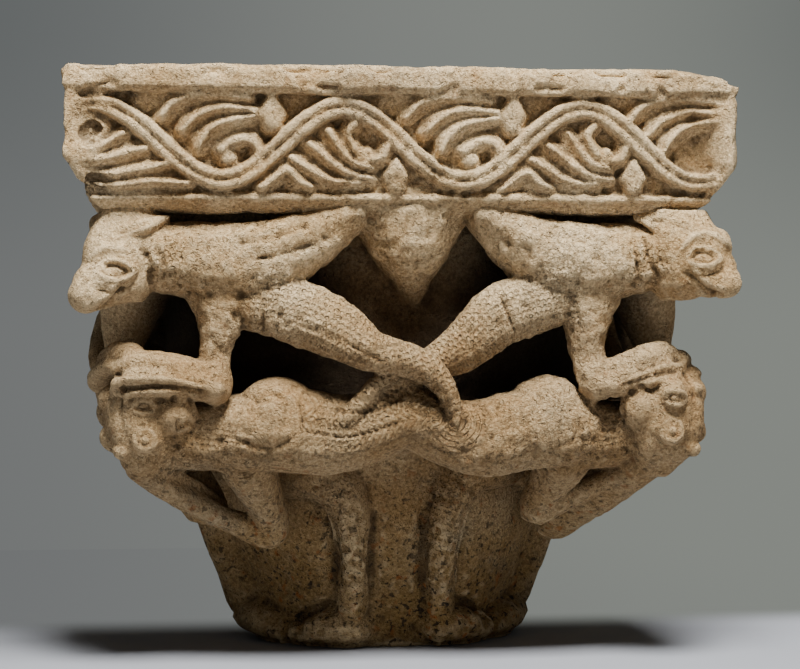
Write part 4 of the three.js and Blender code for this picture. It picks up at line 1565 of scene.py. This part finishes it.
@dataclass(frozen=True)
class Limestone:
    """Warm beige limestone, pitted and stained, browner and speckled towards the neck, with dirt and painted
    shade in the hollows, painted shade in the undercuts and at the middle heights, and a painted highlight on
    proud places.

    Attributes:
        pale: The clean stone, also mixed onto proud places as a painted highlight.
        warm: Its warmer patches.
        brown: The browner tone towards the neck and in the fine grain, also multiplied over the middle
            heights as painted shade.
        grey: The weathered patches.
        dirt_and_shade: The grit specks, and the darkening of the hollows, partly dirt and partly painted
            shade.
        rust: The rust specks.
        black: The black specks.
        undercut_shade: The painted shade laid on the undercut places behind the limbs.
        neck_height: Below which height the stone turns browner.
        grain_depth: How deep the grain is, in metres.
        carved_depth: How deep the finest carved patterns are.
        roughness: How matt the stone is.
        shine: How much light it reflects at its surface.
    """

    pale: tuple = colour(242, 215, 168)
    warm: tuple = colour(208, 174, 124)
    brown: tuple = colour(140, 110, 60)
    grey: tuple = colour(160, 150, 126)
    dirt_and_shade: tuple = colour(58, 40, 20)
    rust: tuple = colour(150, 88, 36)
    black: tuple = colour(28, 23, 18)
    undercut_shade: tuple = colour(34, 22, 12)
    neck_height: float = 0.172
    grain_depth: float = 0.0019
    carved_depth: float = 0.0014
    roughness: float = 0.92
    shine: float = 0.25

    def build(self) -> bpy.types.Material:
        """Returns the finish."""
        material = bpy.data.materials.new("limestone")
        material.use_nodes = True
        tree = Nodes(material.node_tree)
        material.node_tree.nodes.clear()
        place = tree.add("ShaderNodeTexCoord").outputs["Object"]
        height = tree.add("ShaderNodeSeparateXYZ", {0: place}).outputs["Z"]
        low = tree.span(height, self.neck_height, 0.02)
        base = tree.mix(tree.span(tree.noise(place, 20, 5), 0.35, 0.65), self.pale, self.warm)
        stained = tree.product(low, tree.span(tree.noise(place, 28, 4), 0.1, 0.6, 0.3, 0.9))
        base = tree.mix(stained, base, self.brown)
        base = tree.mix(tree.span(tree.noise(place, 13, 5, 0.65), 0.56, 0.72, 0, 0.45), base, self.grey)
        fine = tree.noise(place, 560, 3, 0.75)
        base = tree.mix(tree.span(fine, 0.36, 0.6, 0, 0.5), base, self.brown, "MULTIPLY")
        grit = tree.span(tree.noise(place, 420, 2, 0.6), 0.58, 0.66, 0, 0.4)
        base = tree.mix(grit, base, self.dirt_and_shade)
        hollow = tree.attribute("hollow")
        patches = tree.span(tree.noise(place, 60, 3), 0.2, 0.6, 0.5, 1)
        # Dirt and painted shade: the hollows are darkened, in patches, towards a dark brown.
        hollow_dirt_and_shade = tree.product(tree.span(hollow, 0.1, 1.0), patches)
        base = tree.mix(tree.product(hollow_dirt_and_shade, 0.75), base, self.dirt_and_shade)
        # Painted highlight: proud places are lightened towards the clean pale colour.
        base = tree.mix(tree.span(hollow, -0.1, -0.8, 0, 0.45), base, self.pale)
        base = self.speckle(tree, place, base, low)
        # Painted shade: the heights from about 0.06 to 0.235 m, fullest between 0.1 and 0.17 m, are
        # multiplied darker with brown.
        middle = tree.product(tree.span(height, 0.235, 0.17), tree.span(height, 0.06, 0.1))
        base = tree.mix(tree.product(middle, 0.38), base, self.brown, "MULTIPLY")
        # Painted shade: the undercut places behind the upper figures are darkened nearly to black.
        base = tree.mix(tree.product(tree.attribute("deep"), 0.92), base, self.undercut_shade)
        finish = {
            "Base Color": base,
            "Roughness": self.roughness,
            "Specular IOR Level": self.shine,
            "Normal": self.bump(tree, place),
        }
        shader = tree.add("ShaderNodeBsdfPrincipled", finish)
        tree.add("ShaderNodeOutputMaterial", {"Surface": shader.outputs[0]})
        return material

    def speckle(self, tree: Nodes, place: object, base: object, low: object) -> bpy.types.NodeSocket:
        """Returns the base colour with ragged black and rust specks, thickest near the neck."""
        amount = tree.math("MULTIPLY_ADD", low, 0.8, 0.2)
        specks = (
            (340, 0.6, 0.65, 30, 0.3, 0.54, self.black),
            (190, 0.63, 0.68, 40, 0.36, 0.56, self.black),
            (150, 0.6, 0.7, 30, 0.4, 0.6, self.rust),
        )
        for scale, start, end, patch_scale, patch_start, patch_end, shade in specks:
            spots = tree.span(tree.noise(place, scale, 2, 0.5), start, end)
            patch = tree.span(tree.noise(place, patch_scale, 3), patch_start, patch_end)
            factor = tree.product(tree.product(spots, patch), amount)
            base = tree.mix(tree.product(factor, 0.85), base, shade)
        return base

    def bump(self, tree: Nodes, place: object) -> bpy.types.NodeSocket:
        """Returns the normal of the pitted grain and the fine carved patterns."""
        worn = tree.attribute("worn")
        grain = tree.noise(place, 620, 3, 0.75)
        lumps = tree.noise(place, 230, 4, 0.7)
        holes = tree.span(tree.noise(place, 360, 2, 0.6), 0.58, 0.7, 0, -0.8)
        height = tree.math("ADD", grain, tree.product(lumps, tree.math("MULTIPLY_ADD", worn, 1.6, 0.6)))
        pitted = tree.product(holes, tree.math("MULTIPLY_ADD", worn, 0.8, 0.8))
        height = tree.math("ADD", height, pitted)
        grained = {"Strength": 1.0, "Distance": self.grain_depth, "Height": height}
        rough = tree.add("ShaderNodeBump", grained)
        carved = {
            "Strength": 1.0,
            "Distance": self.carved_depth,
            "Height": self.carved(tree, tree.attribute("trail", "Vector")),
            "Normal": rough.outputs[0],
        }
        return tree.add("ShaderNodeBump", carved).outputs[0]

    def carved(self, tree: Nodes, trail: object) -> bpy.types.NodeSocket:
        """Returns the height of the scales, barbs and tufts that follow the limbs."""
        masks = {pattern: tree.attribute(pattern.value) for pattern in Pattern}
        split = tree.add("ShaderNodeSeparateXYZ", {0: trail})
        along, beside = split.outputs["X"], split.outputs["Y"]
        pits = tree.add("ShaderNodeTexVoronoi", {"Vector": trail, "Scale": 3.2, "Randomness": 0.12})
        dots = tree.span(pits.outputs["Distance"], 0.42, 0.2, 0, -1)
        slant = tree.math("ADD", along, tree.product(tree.math("ABSOLUTE", beside), BARB_SLANT))
        barbs = tree.math("SINE", tree.product(slant, 16.5))
        spots = tree.math("ADD", masks[Pattern.SCALES], tree.product(masks[Pattern.TUFTS], 0.6))
        total = tree.product(barbs, tree.product(masks[Pattern.BARBS], 0.2))
        return tree.math("MULTIPLY_ADD", dots, spots, total)


@dataclass(frozen=True)
class Ground:
    """The studio's plain pale floor, which runs without an edge into a grey backdrop that glows with painted
    light.
    """

    floor: tuple = colour(162, 164, 169)
    left: tuple = colour(112, 114, 115)
    right: tuple = colour(134, 138, 132)
    dim: tuple = colour(92, 96, 96)

    def build(self, name: str, width: float, near: float, far: float) -> bpy.types.Material:
        """Returns a ground finish that changes from matt floor to the backdrop's own glow, a painted gradient
        of light.

        Args:
            name: The finish's name.
            width: How far to either side the backdrop's shade changes.
            near: How far back the floor is still plain.
            far: How far back the backdrop's light has taken over.

        Returns:
            The finish.
        """
        material = bpy.data.materials.new(name)
        material.use_nodes = True
        material.node_tree.nodes.clear()
        tree = Nodes(material.node_tree)
        place = tree.add("ShaderNodeTexCoord").outputs["Object"]
        split = tree.add("ShaderNodeSeparateXYZ", {0: place})
        # Painted light: the backdrop and the far floor glow, lighter to the right and dimmer higher up, away
        # from the middle.
        shade = tree.mix(tree.span(split.outputs["X"], -width, width), self.left, self.right)
        up = tree.span(split.outputs["Z"], 0.15, 0.62, 0, 0.75)
        off_middle = tree.math("ABSOLUTE", tree.math("SUBTRACT", split.outputs["X"], 0.25))
        shade = tree.mix(tree.product(up, tree.span(off_middle, 0.05, 0.8)), shade, self.dim)
        light = tree.add("ShaderNodeEmission", {"Color": shade, "Strength": 1.0})
        matt = tree.add("ShaderNodeBsdfDiffuse", {"Color": self.floor})
        factor = tree.span(split.outputs["Y"], near, far)
        blend = tree.add("ShaderNodeMixShader", {0: factor, 1: matt.outputs[0], 2: light.outputs[0]})
        tree.add("ShaderNodeOutputMaterial", {"Surface": blend.outputs[0]})
        return material


@dataclass(frozen=True)
class Studio:
    """The floor, the backdrop, the lights and the camera.

    Attributes:
        view_from: Where the camera stands, a little left of the front's middle.
        pitch: How far it looks down, in radians.
        turn: How far it looks to the right.
        lens: Its focal length in millimetres.
        sensor: The width of its sensor in millimetres.
        key_from: Where the large soft light hangs.
        fill_from: Where the faint light beside the camera stands.
        aim: What both lights look at.
        glow: The colour of what little light comes from all round.
        glow_strength: How much of it there is.
    """

    view_from: Place = (-0.1225, -1.295, 0.1974)
    pitch: float = 0.0108
    turn: float = 0.1062
    lens: float = 93.3
    sensor: float = 36.0
    key_from: Place = (0.06, -0.8, 1.46)
    fill_from: Place = (0.15, -1.7, 0.42)
    aim: Place = (0, 0, 0.17)
    glow: tuple[float, float, float, float] = (0.5, 0.52, 0.55, 1)
    glow_strength: float = 0.015

    def build(self) -> None:
        """Sets up the studio."""
        self.camera()
        ground = Ground()
        lying = Matrix.Translation((0, -0.65, -0.0005))
        floor = self.plane("floor", lying @ Matrix.Diagonal((4, 1.1, 1, 1)))
        floor.data.materials.append(ground.build("floor", 0.36, -0.02, 0.055))
        upright = Matrix.Translation((0.1, 1.6, 0.4)) @ Matrix.Rotation(math.pi / 2, 4, "X")
        backdrop = self.plane("backdrop", upright @ Matrix.Diagonal((4, 3, 1, 1)))
        backdrop.data.materials.append(ground.build("backdrop", 0.7, 0.5, 1.0))
        self.light("key", self.key_from, 0.46, 60.0)
        self.light("fill", self.fill_from, 1.0, 1.6)
        world = bpy.data.worlds.new("studio")
        world.use_nodes = True
        background = world.node_tree.nodes["Background"]
        background.inputs["Color"].default_value = self.glow
        background.inputs["Strength"].default_value = self.glow_strength
        bpy.context.scene.world = world

    def camera(self) -> None:
        """Adds the camera."""
        data = bpy.data.cameras.new("camera")
        data.lens = self.lens
        data.sensor_width = self.sensor
        camera = in_scene("camera", data)
        camera.location = self.view_from
        camera.rotation_euler = (math.pi / 2 - self.pitch, 0, -self.turn)
        bpy.context.scene.camera = camera

    def plane(self, name: str, matrix: Matrix) -> bpy.types.Object:
        """Returns a flat stage piece, its place in its mesh."""
        shape = bmesh.new()
        bmesh.ops.create_grid(shape, x_segments=1, y_segments=1, size=1, matrix=matrix)
        plane = in_scene(name, as_mesh(shape, name))
        return plane

    def light(self, name: str, place: Place, size: float, power: float) -> None:
        """Adds a soft light that looks at the capital, of a width in metres and a power in watts."""
        data = bpy.data.lights.new(name, "AREA")
        data.size = size
        data.energy = power
        lamp = in_scene(name, data)
        lamp.location = place
        look = Vector(self.aim) - Vector(place)
        lamp.rotation_euler = look.to_track_quat("-Z", "Y").to_euler()


def main() -> None:
    """Builds the capital and its studio."""
    logging.basicConfig(level=logging.INFO, format="%(name)s: %(message)s")
    low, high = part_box("capital")
    block = Block(half=(high[0] - low[0]) / 2, height=high[2])
    LOG.info("block %.3f m wide, %.3f m high", 2 * block.half, block.height)
    Studio().build()
    capital = Capital(block)
    limestone = Limestone().build()
    for stone in (capital.abacus(), capital.basket()):
        stone.data.materials.append(limestone)
        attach(stone, "root")
        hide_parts("capital")
        LOG.info("%s is in place", stone.name)


if __name__ == "__main__":
    main()
